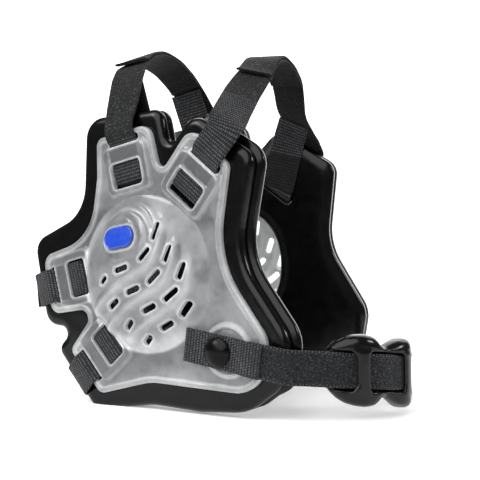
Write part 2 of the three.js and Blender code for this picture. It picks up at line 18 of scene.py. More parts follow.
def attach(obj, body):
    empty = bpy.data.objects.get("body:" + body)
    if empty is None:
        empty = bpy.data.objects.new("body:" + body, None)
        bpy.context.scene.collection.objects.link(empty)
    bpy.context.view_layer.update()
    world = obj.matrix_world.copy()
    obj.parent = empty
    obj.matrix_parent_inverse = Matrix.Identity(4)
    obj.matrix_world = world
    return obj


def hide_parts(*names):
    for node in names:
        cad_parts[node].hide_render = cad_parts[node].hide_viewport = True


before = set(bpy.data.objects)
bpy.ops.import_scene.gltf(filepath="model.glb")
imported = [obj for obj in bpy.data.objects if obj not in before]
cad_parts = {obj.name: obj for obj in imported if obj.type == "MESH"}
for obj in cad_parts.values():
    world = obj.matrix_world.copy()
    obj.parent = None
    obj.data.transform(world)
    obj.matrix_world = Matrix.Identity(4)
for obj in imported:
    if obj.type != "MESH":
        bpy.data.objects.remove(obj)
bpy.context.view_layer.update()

LOG = logging.getLogger("ear_guard")
MM = 0.001
MIRROR = np.array([1.0, -1.0, 1.0])
UP = np.array([0.0, 0.0, 1.0])
FAR = 1e9
TINY = 1e-12

Array = np.ndarray
Rows = list[tuple[float, ...]]
Depth = Callable[[Array], Array]
Material = bpy.types.Material
Piece = bpy.types.Object
Node = bpy.types.Node
Socket = bpy.types.NodeSocket
Tree = bpy.types.NodeTree


class Side(Enum):
    """The wearer's side that a piece belongs to."""

    RIGHT = "right"
    LEFT = "left"


class Lap(Enum):
    """Which of two lapped strap halves lies nearer the head."""

    UNDER = -1
    OVER = 1


class Kind(Enum):
    """The kinds of node that the finishes and the sewing use."""

    MATH = "ShaderNodeMath"
    ATTRIBUTE = "ShaderNodeAttribute"
    BUMP = "ShaderNodeBump"
    COMBINE = "ShaderNodeCombineXYZ"
    MIX = "ShaderNodeMix"
    MIX_SHADER = "ShaderNodeMixShader"
    NOISE = "ShaderNodeTexNoise"
    PLACE = "ShaderNodeTexCoord"
    RAMP = "ShaderNodeValToRGB"
    SEPARATE = "ShaderNodeSeparateXYZ"
    SPREAD = "ShaderNodeMapRange"
    TRANSLUCENT = "ShaderNodeBsdfTranslucent"
    ALIGN = "FunctionNodeAlignRotationToVector"
    RANDOM = "FunctionNodeRandomValue"
    BEAD = "GeometryNodeMeshIcoSphere"
    CURVE = "GeometryNodeMeshToCurve"
    EVEN = "GeometryNodeResampleCurve"
    FINISH = "GeometryNodeSetMaterial"
    NAMED = "GeometryNodeInputNamedAttribute"
    REALIZE = "GeometryNodeRealizeInstances"
    REPEAT = "GeometryNodeInstanceOnPoints"
    RESHAPE = "GeometryNodeTransform"
    GIVEN = "NodeGroupInput"
    RESULT = "NodeGroupOutput"


# Shared arithmetic


def ease(x: Array, low: float, high: float) -> Array:
    """Smooth step of x from 0 at low to 1 at high."""
    t = np.clip((np.asarray(x, float) - low) / (high - low), 0.0, 1.0)
    return t * t * (3.0 - 2.0 * t)


def fade(x: Array, full: float, none: float) -> Array:
    """Smooth step of x from 1 at full down to 0 at none."""
    return 1.0 - ease(x, full, none)


def band(x: Array, rise: tuple[float, float], fall: tuple[float, float]) -> Array:
    """Smooth band of x, from 0 to 1 over the rise and back to 0 over the fall."""
    return ease(x, *rise) * fade(x, *fall)


def soft_max(a: Array, b: Array, blend: float) -> Array:
    """Larger of two heights, with a fillet of about the blend's size where they meet."""
    h = np.clip(0.5 + 0.5 * (a - b) / blend, 0.0, 1.0)
    return a * h + b * (1.0 - h) + blend * h * (1.0 - h)


def round_off(gap: Array, radius: float, deep: float) -> Array:
    """Fall of a rounded edge at a distance from it, where the rounding starts a radius away."""
    share = np.clip((radius - gap) / radius, 0.0, 1.0)
    return deep * (1.0 - np.sqrt(1.0 - share**2))


def unit(v: Array) -> Array:
    """Rows of v at length one."""
    return v / np.maximum(np.linalg.norm(v, axis=-1, keepdims=True), TINY)


def run_lengths(points: Array) -> Array:
    """Distance along a line of points at each of them."""
    return np.concatenate([[0.0], np.cumsum(np.linalg.norm(np.diff(points, axis=0), axis=1))])


def between(s: Array, stations: Array, rows: Array) -> Array:
    """Rows at distances between stations that have rows of their own."""
    return np.stack([np.interp(s, stations, rows[:, k]) for k in range(rows.shape[1])], axis=-1)


def turned(points: Array, u: float, v: float, degrees: float) -> tuple[Array, Array]:
    """Distances of points from a place, along a bearing and across it."""
    x, y, turn = points[:, 0] - u, points[:, 1] - v, math.radians(degrees)
    return x * math.cos(turn) + y * math.sin(turn), y * math.cos(turn) - x * math.sin(turn)


def line_gap(points: Array, u: float, v: float, degrees: float, reach: float) -> Array:
    """Distance of points from a short line of a half length, through a place on a bearing."""
    along, across = turned(points, u, v, degrees)
    return np.hypot(along - np.clip(along, -reach, reach), across)


def rounded_outline(corners: Rows, step_degrees: float = 5.0, run: float = 2.5) -> Array:
    """Closed outline through corners with given radii.

    Args:
        corners: rows of u, v and corner radius.
        step_degrees: turn between the points of an arc.
        run: longest straight piece.

    Returns:
        Points, one row each.
    """
    points: list[Array] = []
    at = np.array(corners, float)
    for i, (u, v, r) in enumerate(at):
        here = np.array([u, v])
        back = unit(at[i - 1, :2] - here)
        on = unit(at[(i + 1) % len(at), :2] - here)
        points.extend(arc(here, back, on, r, step_degrees))
    dense: list[Array] = []
    for a, b in zip(points, points[1:] + points[:1]):
        count = max(1, int(np.linalg.norm(b - a) / run))
        dense.extend(a + (b - a) * k / count for k in range(count))
    return np.array(dense)


def arc(here: Array, back: Array, on: Array, radius: float, step_degrees: float) -> list[Array]:
    """Points of the arc that rounds one corner.

    Args:
        here: the corner.
        back: direction to the corner before.
        on: direction to the corner after.
        radius: radius of the arc.
        step_degrees: turn between points.

    Returns:
        The points in order.
    """
    half = math.acos(float(np.clip(back @ on, -1.0, 1.0))) / 2.0
    turn = math.pi - 2.0 * half
    if turn < 0.01:
        return [here]
    centre = here + unit(back + on) * radius / math.sin(half)
    start = here + back * radius / math.tan(half) - centre
    end = here + on * radius / math.tan(half) - centre
    count = max(2, math.ceil(math.degrees(turn) / step_degrees))
    scale = math.sin(turn)
    return [
        centre + start * math.sin((1 - f) * turn) / scale + end * math.sin(f * turn) / scale
        for f in np.linspace(0.0, 1.0, count + 1)
    ]


def outline_depth(points: Array, outline: Array) -> Array:
    """Distance of points inside a closed outline.

    Args:
        points: rows of two coordinates.
        outline: points of the outline in order.

    Returns:
        The distances, negative outside it.
    """
    best = np.full(len(points), FAR)
    crossings = np.zeros(len(points), int)
    x, y = points[:, 0], points[:, 1]
    for a, b in zip(outline, np.roll(outline, -1, axis=0)):
        along = b - a
        t = np.clip(((x - a[0]) * along[0] + (y - a[1]) * along[1]) / (along @ along), 0.0, 1.0)
        best = np.minimum(best, np.hypot(x - a[0] - t * along[0], y - a[1] - t * along[1]))
        spans = (a[1] > y) != (b[1] > y)
        rise = along[1] if along[1] else TINY
        crossings += spans & (x < a[0] + (y - a[1]) * along[0] / rise)
    return np.where(crossings % 2 == 1, best, -best)


def box_depth(q: Array, p: Array, low: float, high: float, half: float, radius: float) -> Array:
    """Distance inside a rounded box, from low to high along q and half to either side along p."""
    x, y = np.abs(q - (low + high) / 2) - ((high - low) / 2 - radius), np.abs(p) - (half - radius)
    return radius - np.hypot(np.maximum(x, 0), np.maximum(y, 0)) - np.minimum(np.maximum(x, y), 0)


def downhill(depth: Depth, points: Array, nudge: float) -> Array:
    """Directions in which a depth falls fastest, by a small step to either side."""
    steps = np.eye(2) * nudge
    return -unit(np.stack([depth(points + step) - depth(points - step) for step in steps], axis=1))


def clipped_grid(depth: Depth, low: Array, high: Array, step: float) -> tuple[Array, list[Array], Array]:
    """Square grid cut along the line where a depth is nought.

    Args:
        depth: gives the depth of points, positive where there is material.
        low: lowest corner of the grid.
        high: highest corner.
        step: cell size.

    Returns:
        Points, arrays of faces that run anticlockwise, and boundary edges with the material on their left.
    """
    xs = np.arange(low[0], high[0] + step, step)
    ys = np.arange(low[1], high[1] + step, step)
    gx, gy = np.meshgrid(xs, ys)
    flat = np.stack([gx.ravel(), gy.ravel()], axis=1)
    f = depth(flat).reshape(gx.shape)
    least = 0.02 * step
    f = np.where(np.abs(f) < least, np.where(f >= 0, least, -least), f)
    within = f > 0
    points = [flat[within.ravel()]]
    ids = np.full(f.shape, -1)
    ids[within] = np.arange(within.sum())
    total = int(within.sum())
    edge_ids: list[Array] = []
    for axis in (1, 0):
        a = [slice(None), slice(None)]
        b = [slice(None), slice(None)]
        a[axis], b[axis] = slice(None, -1), slice(1, None)
        fa, fb = f[tuple(a)], f[tuple(b)]
        cross = (fa > 0) != (fb > 0)
        share = (fa / np.where(cross, fa - fb, 1.0))[cross][:, None]
        pa = np.stack([gx[tuple(a)][cross], gy[tuple(a)][cross]], axis=1)
        pb = np.stack([gx[tuple(b)][cross], gy[tuple(b)][cross]], axis=1)
        points.append(pa + share * (pb - pa))
        found = np.full(fa.shape, -1)
        found[cross] = total + np.arange(cross.sum())
        total += int(cross.sum())
        edge_ids.append(found)
    h, v = edge_ids
    ring = [ids[:-1, :-1], h[:-1], ids[:-1, 1:], v[:, 1:], ids[1:, 1:], h[1:], ids[1:, :-1], v[:, :-1]]
    walk = np.stack([part.ravel() for part in ring], axis=1)
    case = sum((walk[:, 2 * k] >= 0).astype(int) << k for k in range(4))
    faces: list[Array] = []
    borders: list[Array] = []
    for number in range(1, 16):
        rows = walk[case == number]
        if not len(rows):
            continue
        filled = [bool(number >> k & 1) for k in range(4)]
        changes = [filled[k] != filled[(k + 1) % 4] for k in range(4)]
        picked = [k for k in range(8) if (changes if k % 2 else filled)[k // 2]]
        faces.append(rows[:, picked])
        for a, b in zip(picked, picked[1:] + picked[:1]):
            if a % 2 and b % 2 and not filled[((a + 1) % 8) // 2]:
                borders.append(rows[:, [a, b]])
    return np.concatenate(points), faces, np.concatenate(borders)


# Meshes and nodes


def linear(hex_colour: str) -> tuple[float, float, float, float]:
    """Linear colour of an sRGB hex value, with a full alpha."""
    parts = [int(hex_colour[i : i + 2], 16) / 255 for i in (1, 3, 5)]
    return (*(c / 12.92 if c <= 0.04045 else ((c + 0.055) / 1.055) ** 2.4 for c in parts), 1.0)


def feed(tree: Tree, node: Node, inputs: dict) -> None:
    """Give a node's sockets their values, or link them from other sockets.

    Args:
        tree: the node's tree.
        node: the node.
        inputs: socket name or number to a value, or to a socket to link from.
    """
    for key, value in inputs.items():
        if isinstance(value, Socket):
            tree.links.new(value, node.inputs[key])
        else:
            node.inputs[key].default_value = value


def add_node(
    tree: Tree,
    kind: Kind,
    inputs: dict | None = None,
    stops: list[tuple[float, str]] | None = None,
    output: int | str = 0,
    **settings: object,
) -> Socket | None:
    """Add a node with its settings and links.

    Args:
        tree: the tree that takes the node.
        kind: what the node is.
        inputs: socket name or number to a value, or to a socket to link from.
        stops: places from 0 to 1 with their hex colours, for a colour ramp.
        output: which of its outputs is wanted.
        settings: properties of the node.

    Returns:
        The output, where the node has one.
    """
    node = tree.nodes.new(kind.value)
    for key, value in settings.items():
        setattr(node, key, value)
    feed(tree, node, inputs or {})
    if stops:
        points = node.color_ramp.elements
        while len(points) < len(stops):
            points.new(1.0)
        for point, (at, colour) in zip(points, stops):
            point.position = at
            point.color = linear(colour)
    return node.outputs[output] if len(node.outputs) else None


def mesh_piece(name: str, points: Array, faces: list, finish: Material, sharp: float = 38.0) -> Piece:
    """Object with a smooth-shaded mesh.

    Args:
        name: name of the piece.
        points: vertices in millimetres.
        faces: vertex numbers of each face.
        finish: its material.
        sharp: edges that turn more than this many degrees stay sharp.

    Returns:
        The object, at the origin.
    """
    mesh = bpy.data.meshes.new(name)
    mesh.from_pydata((np.asarray(points) * MM).tolist(), [], faces)
    mesh.polygons.foreach_set("use_smooth", np.ones(len(mesh.polygons), bool))
    mesh.set_sharp_from_angle(angle=math.radians(sharp))
    mesh.materials.append(finish)
    mesh.update()
    piece = bpy.data.objects.new(name, mesh)
    bpy.context.scene.collection.objects.link(piece)
    return piece


def mark(piece: Piece, name: str, values: Array) -> None:
    """Store a number or a vector for each vertex of a piece.

    Args:
        piece: the object.
        name: name of the attribute.
        values: one number or one row for each vertex.
    """
    values = np.asarray(values, np.float32)
    kind = "FLOAT" if values.ndim == 1 else "FLOAT_VECTOR"
    data = piece.data.attributes.new(name, kind, "POINT").data
    data.foreach_set("value" if values.ndim == 1 else "vector", values.ravel())


def flipped(faces: list) -> list:
    """The same faces seen from the other side."""
    return [tuple(reversed(face)) for face in faces]


def tube_faces(rings: int, size: int) -> list:
    """Four-cornered faces between rings of so many points each, from the first ring to the last."""
    sides = [(k * size + i, k * size + (i + 1) % size) for k in range(rings - 1) for i in range(size)]
    return [(a, a + size, b + size, b) for a, b in sides]


def settle(piece: Piece, slot: str, *nodes: str) -> Piece:
    """Ride a piece on the root body, in place of CAD nodes.

    Args:
        piece: the object.
        slot: not used.
        nodes: the CAD nodes that it replaces.

    Returns:
        The object.
    """
    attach(piece, "root")
    if nodes:
        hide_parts(*nodes)
    LOG.info("%s: %d faces", piece.name, len(piece.data.polygons))
    return piece


# Finishes


@dataclass(frozen=True)
class Finish:
    """A surface: a real material and how it was made."""

    name: str

    def start(self) -> tuple[Tree, Node, Socket]:
        """Start the material.

        Returns:
            Its node tree, its shader and its object coordinates.
        """
        material = bpy.data.materials.new(self.name)
        material.use_nodes = True
        tree = material.node_tree
        return tree, tree.nodes["Principled BSDF"], add_node(tree, Kind.PLACE, output="Object")

    def patterns(self, tree: Tree, place: Socket, *sizes: tuple[float, ...]) -> list[Socket]:
        """Cloudy patterns of real sizes.

        Args:
            tree: the material's tree.
            place: coordinates that the patterns lie in.
            sizes: for each, the size of its lumps in millimetres, its detail and how far it is swirled.

        Returns:
            Their values from 0 to 1.
        """
        made = []
        for size, detail, swirl in sizes:
            inputs = {"Vector": place, "Scale": 1.0 / (size * MM), "Detail": detail, "Distortion": swirl}
            made.append(add_node(tree, Kind.NOISE, inputs))
        return made

    def layered(self, tree: Tree, base: Socket, *layers: tuple[Socket, float, float]) -> Socket:
        """A value with patterns laid over it.

        Args:
            tree: the material's tree.
            base: the value.
            layers: patterns from 0 to 1, each with the least and the most that it adds.

        Returns:
            The sum.
        """
        for pattern, low, high in layers:
            part = add_node(tree, Kind.SPREAD, {"Value": pattern, "To Min": low, "To Max": high})
            base = add_node(tree, Kind.MATH, {0: base, 1: part}, operation="ADD")
        return base

    def done(self, tree: Tree, shader: Node, values: dict) -> Material:
        """Give the shader its values, and hand over the material."""
        feed(tree, shader, values)
        return bpy.data.materials[self.name]


@dataclass(frozen=True)
class FrostedShell(Finish):
    """Moulded translucent vinyl: milky and a little paler on its thick rim, with a soft gloss, and painted
    highlights and painted shade laid into its tone.
    """

    name: str = "translucent_vinyl_moulded"
    through: float = 0.4
    glow_mm: float = 3.0

    def make(self) -> Material:
        """Build the material, whose vertices give its milkiness together with painted highlights and painted
        shade.

        Returns:
            The material.
        """
        tree, shader, place = self.start()
        # The vertex tone holds the plastic's milkiness together with painted highlights on rims, lips and
        # crests and painted shade at the dome's foot and over the anchors.
        milk_and_painted_light = add_node(tree, Kind.ATTRIBUTE, output="Fac", attribute_name="milk_and_painted_light")
        sizes = ((22.0, 2.0, 0.4), (6.0, 2.0, 0.0), (2.6, 2.0, 0.0), (0.9, 2.0, 0.0))
        cloud, haze, wisp, grain = self.patterns(tree, place, *sizes)
        milk = self.layered(tree, milk_and_painted_light, (cloud, -0.32, 0.36), (haze, -0.18, 0.20), (wisp, -0.12, 0.12))
        stops = [(0.0, "#636567"), (0.3, "#9c9ea0"), (0.62, "#c4c6c7"), (1.0, "#f4f5f5")]
        flow = add_node(tree, Kind.BUMP, {"Height": cloud, "Distance": 0.5 * MM, "Strength": 0.35})
        frost = {"Height": grain, "Distance": 0.05 * MM, "Strength": 0.5, "Normal": flow}
        values = {
            "Base Color": add_node(tree, Kind.RAMP, {"Fac": milk}, stops),
            "Roughness": add_node(tree, Kind.SPREAD, {"Value": haze, "To Min": 0.2, "To Max": 0.4}),
            "Normal": add_node(tree, Kind.BUMP, frost),
            "IOR": 1.52,
            "Subsurface Weight": 0.45,
            "Subsurface Radius": (self.glow_mm * MM,) * 3,
            "Subsurface Scale": 1.0,
            "Coat Weight": 1.0,
            "Coat Roughness": 0.07,
        }
        through = add_node(tree, Kind.TRANSLUCENT, {"Color": linear("#f2f3f3")})
        both = add_node(tree, Kind.MIX_SHADER, {0: self.through, 1: shader.outputs[0], 2: through})
        output = next(node for node in tree.nodes if node.type == "OUTPUT_MATERIAL")
        feed(tree, output, {"Surface": both})
        return self.done(tree, shader, values)


@dataclass(frozen=True)
class DippedVinyl(Finish):
    """Foam dipped in liquid vinyl: a black skin with a faint pebble and slow waves in its gloss."""

    name: str = "vinyl_dipped_foam"
    dark: str = "#030304"
    pale: str = "#070708"
    smooth: float = 0.14
    rough: float = 0.28
    coat: float = 0.05

    def make(self) -> Material:
        """Build the material.

        Returns:
            The material.
        """
        tree, shader, place = self.start()
        wave, scuff, pebble = self.patterns(tree, place, (26.0, 2.0, 0.0), (6.0, 5.0, 0.0), (1.1, 2.0, 0.0))
        stops = [(0.3, self.dark), (0.75, self.pale)]
        gloss = {"Value": scuff, "To Min": self.smooth, "To Max": self.rough}
        slow = add_node(tree, Kind.BUMP, {"Height": wave, "Distance": 1.2 * MM, "Strength": 0.5})
        fine = {"Height": pebble, "Distance": 0.03 * MM, "Strength": 0.4, "Normal": slow}
        values = {
            "Base Color": add_node(tree, Kind.RAMP, {"Fac": scuff}, stops),
            "Roughness": add_node(tree, Kind.SPREAD, gloss),
            "Normal": add_node(tree, Kind.BUMP, fine),
            "IOR": 1.5,
            "Specular IOR Level": 0.22,
            "Coat Weight": self.coat,
            "Coat Roughness": 0.2,
        }
        return self.done(tree, shader, values)


@dataclass(frozen=True)
class WovenWebbing(Finish):
    """Woven nylon webbing with sewn-on loop tape: rows of thread knuckles, and a short brushed pile."""

    name: str = "nylon_webbing_woven"
    row_mm: float = 1.75
    knuckle_mm: float = 1.35
    shade_and_foot_darkening: float = 0.3

    def knuckles(self, tree: Tree) -> tuple[Socket, Socket]:
        """Weave of the strap: round knuckles in rows that stand half a step apart.

        Args:
            tree: the material's tree. The weave attribute holds places across and along in millimetres.

        Returns:
            The place across the strap, and the weave's height from 0 to 1.
        """
        weave = add_node(tree, Kind.ATTRIBUTE, output="Vector", attribute_name="weave")
        across, along, _ = add_node(tree, Kind.SEPARATE, {0: weave}).node.outputs
        rows = add_node(tree, Kind.MATH, {0: along, 1: self.row_mm}, operation="DIVIDE")
        whole = add_node(tree, Kind.MATH, {0: rows}, operation="FLOOR")
        shift = add_node(tree, Kind.MATH, {0: whole, 1: 0.5}, operation="MULTIPLY")
        steps = add_node(tree, Kind.MATH, {0: across, 1: self.knuckle_mm}, operation="DIVIDE")
        cells = add_node(tree, Kind.MATH, {0: steps, 1: shift}, operation="ADD")
        swell = []
        for value in (rows, cells):
            turn = add_node(tree, Kind.MATH, {0: value, 1: math.pi}, operation="MULTIPLY")
            swing = add_node(tree, Kind.MATH, {0: turn}, operation="SINE")
            swell.append(add_node(tree, Kind.MATH, {0: swing}, operation="ABSOLUTE"))
        ribs = add_node(tree, Kind.MATH, {0: swell[0], 1: 0.7}, operation="POWER")
        beads = add_node(tree, Kind.SPREAD, {"Value": swell[1], "To Min": 0.45, "To Max": 1.0})
        return across, add_node(tree, Kind.MATH, {0: ribs, 1: beads}, operation="MULTIPLY")

    def make(self) -> Material:
        """Build the material, whose vertices say where the pile is, and where the strap is darker: painted
        shade on the face turned to the head, and a darker foot on the inner leg.

        Returns:
            The material.
        """
        tree, shader, place = self.start()
        _, knuckle = self.knuckles(tree)
        pile = add_node(tree, Kind.ATTRIBUTE, output="Fac", attribute_name="pile")
        shade_and_dark_foot = add_node(tree, Kind.ATTRIBUTE, output="Fac", attribute_name="shade_and_dark_foot")
        fuzz, wear = self.patterns(tree, place, (1.1, 3.0, 0.0), (9.0, 4.0, 0.0))
        nap = add_node(tree, Kind.SPREAD, {"Value": fuzz, "To Min": -0.5, "To Max": 1.2})
        height = add_node(tree, Kind.MIX, {0: pile, 2: knuckle, 3: nap})
        toned = self.layered(tree, height, (fuzz, -0.5, 0.5), (wear, -0.2, 0.2))
        # Painted shade on the face turned to the head, and the darker foot of the inner leg, come off the
        # tone.
        shade = add_node(tree, Kind.MATH, {0: shade_and_dark_foot, 1: self.shade_and_foot_darkening}, operation="MULTIPLY")
        toned = add_node(tree, Kind.MATH, {0: toned, 1: shade}, operation="SUBTRACT")
        stops = [(0.0, "#040405"), (0.4, "#121314"), (0.75, "#2a2b2d"), (1.0, "#505154")]
        values = {
            "Base Color": add_node(tree, Kind.RAMP, {"Fac": toned}, stops),
            "Normal": add_node(tree, Kind.BUMP, {"Height": height, "Distance": 0.45 * MM, "Strength": 0.9}),
            "Roughness": 0.8,
            "Specular IOR Level": 0.25,
            "Sheen Weight": 0.06,
            "Sheen Roughness": 0.5,
        }
        return self.done(tree, shader, values)


@dataclass(frozen=True)
class LoopPile(WovenWebbing):
    """Knitted loop tape: a deep speckled pile between two flat woven borders."""

    name: str = "nylon_loop_pile_knitted"
    border_mm: float = 6.9
    border_blend_mm: float = 0.5
    loop_share: float = 0.75

    def make(self) -> Material:
        """Build the material.

        Returns:
            The material.
        """
        tree, shader, place = self.start()
        across, knuckle = self.knuckles(tree)
        speckle, tufts = self.patterns(tree, place, (0.9, 3.0, 0.0), (2.2, 2.0, 0.0))
        loops = add_node(tree, Kind.SPREAD, {"Value": speckle, "To Min": -0.65, "To Max": 1.65})
        parts = [
            add_node(tree, Kind.MATH, {0: value, 1: share}, operation="MULTIPLY")
            for value, share in ((loops, self.loop_share), (tufts, 1.0 - self.loop_share))
        ]
        deep = add_node(tree, Kind.MATH, {0: parts[0], 1: parts[1]}, operation="ADD")
        reach = add_node(tree, Kind.MATH, {0: across}, operation="ABSOLUTE")
        border = {"From Min": self.border_mm, "From Max": self.border_mm + self.border_blend_mm}
        edge = add_node(tree, Kind.SPREAD, {"Value": reach, **border})
        height = add_node(tree, Kind.MIX, {0: edge, 2: deep, 3: knuckle})
        stops = [(0.1, "#060607"), (0.45, "#131416"), (0.7, "#2a2b2e"), (1.0, "#515256")]
        values = {
            "Base Color": add_node(tree, Kind.RAMP, {"Fac": height}, stops),
            "Normal": add_node(tree, Kind.BUMP, {"Height": height, "Distance": 0.7 * MM, "Strength": 1.0}),
            "Roughness": 0.85,
            "Specular IOR Level": 0.2,
            "Sheen Weight": 0.08,
            "Sheen Roughness": 0.45,
        }
        return self.done(tree, shader, values)


@dataclass(frozen=True)
class MouldedGloss(Finish):
    """Moulded gloss plastic: one colour with faint handling marks in its shine."""

    name: str
    colour: str
    worn: str
    smooth: float = 0.14
    gloss: float = 0.5
    dulled: float = 0.14

    def make(self) -> Material:
        """Build the material.

        Returns:
            The material.
        """
        tree, shader, place = self.start()
        (marks,) = self.patterns(tree, place, (3.0, 5.0, 0.0))
        stops = [(0.35, self.colour), (0.8, self.worn)]
        shine = {"Value": marks, "To Min": self.smooth, "To Max": self.smooth + self.dulled}
        values = {
            "Base Color": add_node(tree, Kind.RAMP, {"Fac": marks}, stops),
            "Roughness": add_node(tree, Kind.SPREAD, shine),
            "Normal": add_node(tree, Kind.BUMP, {"Height": marks, "Distance": 0.05 * MM, "Strength": 0.3}),
            "IOR": 1.5,
            "Specular IOR Level": self.gloss,
        }
        return self.done(tree, shader, values)


@dataclass(frozen=True)
class SewingThread(Finish):
    """Bonded nylon thread: twisted, a little paler than the webbing."""

    name: str = "nylon_thread_twisted"
    colour: str = "#0d0d0f"
    pale: str = "#222325"

    def make(self) -> Material:
        """Build the material.

        Returns:
            The material.
        """
        tree, shader, place = self.start()
        (ply,) = self.patterns(tree, place, (0.5, 2.0, 0.0))
        values = {
            "Base Color": add_node(tree, Kind.RAMP, {"Fac": ply}, [(0.3, self.colour), (0.75, self.pale)]),
            "Normal": add_node(tree, Kind.BUMP, {"Height": ply, "Distance": 0.1 * MM, "Strength": 0.6}),
            "Roughness": 0.6,
        }
        return self.done(tree, shader, values)


@dataclass(frozen=True)
class StudioPaper(Finish):
    """Matt white paper sweep under the object."""

    name: str = "white_paper_matt"
    glow: float = 0.0

    def make(self) -> Material:
        """Build the material.

        Returns:
            The material.
        """
        tree, shader, place = self.start()
        (grain,) = self.patterns(tree, place, (400.0, 2.0, 0.0))
        values = {
            "Base Color": add_node(tree, Kind.RAMP, {"Fac": grain}, [(0.3, "#f4f4f4"), (0.7, "#fafafa")]),
            "Roughness": 1.0,
            "Specular IOR Level": 0.0,
            "Emission Color": (1.0, 1.0, 1.0, 1.0),
            "Emission Strength": self.glow,
        }
        return self.done(tree, shader, values)


# Guards

# Sizes that several pieces share, in a guard's own frame
BAR_END = 16.2
SLOT_END = 20.6
SLIT_FRONT = -5.8
SLIT_BACK = 2.5
SNAP_U = 47.5
SNAP_V = -45.7


@dataclass
class Anchor:
    """Place where a strap goes round a bar of the shell: its window's middle and two bearings in degrees."""

    u: float
    v: float
    out: float
    leg: float

    def local(self, points: Array) -> tuple[Array, Array]:
        """Distance of points along and across the strap."""
        return turned(points, self.u, self.v, self.out)


ANCHORS: dict[str, Anchor] = {
    "crown_rear": Anchor(-10.6, 45.4, 101.4, 101.4),
    "crown_front": Anchor(27.9, 36.5, 51.3, 76.0),
    "nape_upper": Anchor(-46.3, -10.4, 194.0, 194.0),
    "nape_lower": Anchor(-25.6, -45.7, 221.5, 215.0),
}


@dataclass
class GuardFrame:
    """Where the right guard stands. The left one is its mirror image."""

    x: float = -13.86
    half_gap: float = 59.4
    z: float = 80.0
    toe: float = math.radians(10.4)

    def forward(self) -> Array:
        """Direction of u."""
        return np.array([math.cos(self.toe), -math.sin(self.toe), 0.0])

    def outward(self) -> Array:
        """Direction of w."""
        return np.array([-math.sin(self.toe), -math.cos(self.toe), 0.0])

    def bearing(self, degrees: float) -> Array:
        """Direction in the plane of the guard, in degrees from forward."""
        turn = math.radians(degrees)
        return self.forward() * math.cos(turn) + np.array([0.0, 0.0, math.sin(turn)])

    def place(self, local: Array) -> Array:
        """Rows of u, v and w in the guard's own frame, as points of the part's frame."""
        u, v, w = np.atleast_2d(local).T[:, :, None]
        return np.array([self.x, -self.half_gap, self.z]) + u * self.forward() + v * UP + w * self.outward()

    def piece(
        self, name: str, side: Side, local: Array, faces: list, finish: Material, sharp: float
    ) -> Piece:
        """Mesh given in the guard's own frame, on either side.

        Args:
            name: name of the piece.
            side: the wearer's side.
            local: vertices in the guard's frame.
            faces: faces that point outwards on the right guard.
            finish: its material.
            sharp: turn in degrees above which an edge stays sharp.

        Returns:
            The object.
        """
        points = self.place(local)
        if side is Side.LEFT:
            points = points * MIRROR
            faces = flipped(faces)
        return mesh_piece(name, points, faces, finish, sharp)


GUARD = GuardFrame()


def plate_faces(count: int, faces: list[Array], borders: Array, rings: int) -> list:
    """Faces of a plate: its front, its back and a wall of rings round each border.

    Args:
        count: points of the front. The back's follow them, then each ring's.
        faces: faces of the front.
        borders: border edges, with the material on their left.
        rings: rings of points between back and front.

    Returns:
        The faces as tuples.
    """
    made: list = []
    for group in faces:
        made.extend(map(tuple, group.tolist()))
        made.extend(map(tuple, (group[:, ::-1] + count).tolist()))
    levels = [1] + [2 + k for k in range(rings)] + [0]
    for low, high in zip(levels, levels[1:]):
        a, b = borders[:, 0], borders[:, 1]
        quads = np.stack([a + low * count, b + low * count, b + high * count, a + high * count], axis=1)
        made.extend(map(tuple, quads.tolist()))
    return made


def without_loose(
    points: Array, faces: list, extra: dict[str, Array]
) -> tuple[Array, list, dict[str, Array]]:
    """Drop the points that no face uses.

    Args:
        points: all points.
        faces: faces that use some of them.
        extra: further values for each point.

    Returns:
        The kept points, the faces with new numbers, and the kept values.
    """
    used = np.zeros(len(points), bool)
    used[np.fromiter((i for face in faces for i in face), int)] = True
    number = np.cumsum(used) - 1
    lists = [tuple(number[list(face)].tolist()) for face in faces]
    return points[used], lists, {key: value[used] for key, value in extra.items()}


@dataclass(frozen=True)
class ReliefHeights:
    """Heights of the shell's moulded details in millimetres."""

    wave: float = 2.5
    curl: float = 1.0
    boss: float = 1.2
    badge_lip: float = 0.7
    badge_seat: float = 0.3
    vent_lip: float = 0.55
    vent_thinning: float = 0.9
    bar_dip: float = 0.55
    window_lip: float = 0.4
    bar_seat: float = 0.2
    snap_ring: float = 1.4
    gate: float = 0.3


@dataclass(frozen=True)
class ShellTonesAndPaintedLight:
    """How much each detail adds to or takes from the shell's tone, which goes from 0 to 1: plate, dome and
    brim are its milkiness; rim, edge, dome edge, ridge, vent, badge, pod edge, window and snap ring are
    painted highlights; dome foot, pod and bar are painted shade.
    """

    plate: float = 0.19
    dome: float = -0.08
    brim: float = 0.10
    rim: float = 0.42
    edge: float = 0.30
    dome_edge_highlight: float = 0.62
    dome_foot_shade: float = -0.2
    ridge_highlight: float = 0.26
    vent: float = 0.42
    badge: float = 0.5
    pod_edge_highlight: float = 0.22
    pod: float = -0.16
    bar: float = -0.16
    window: float = 0.55
    snap_ring: float = 0.38


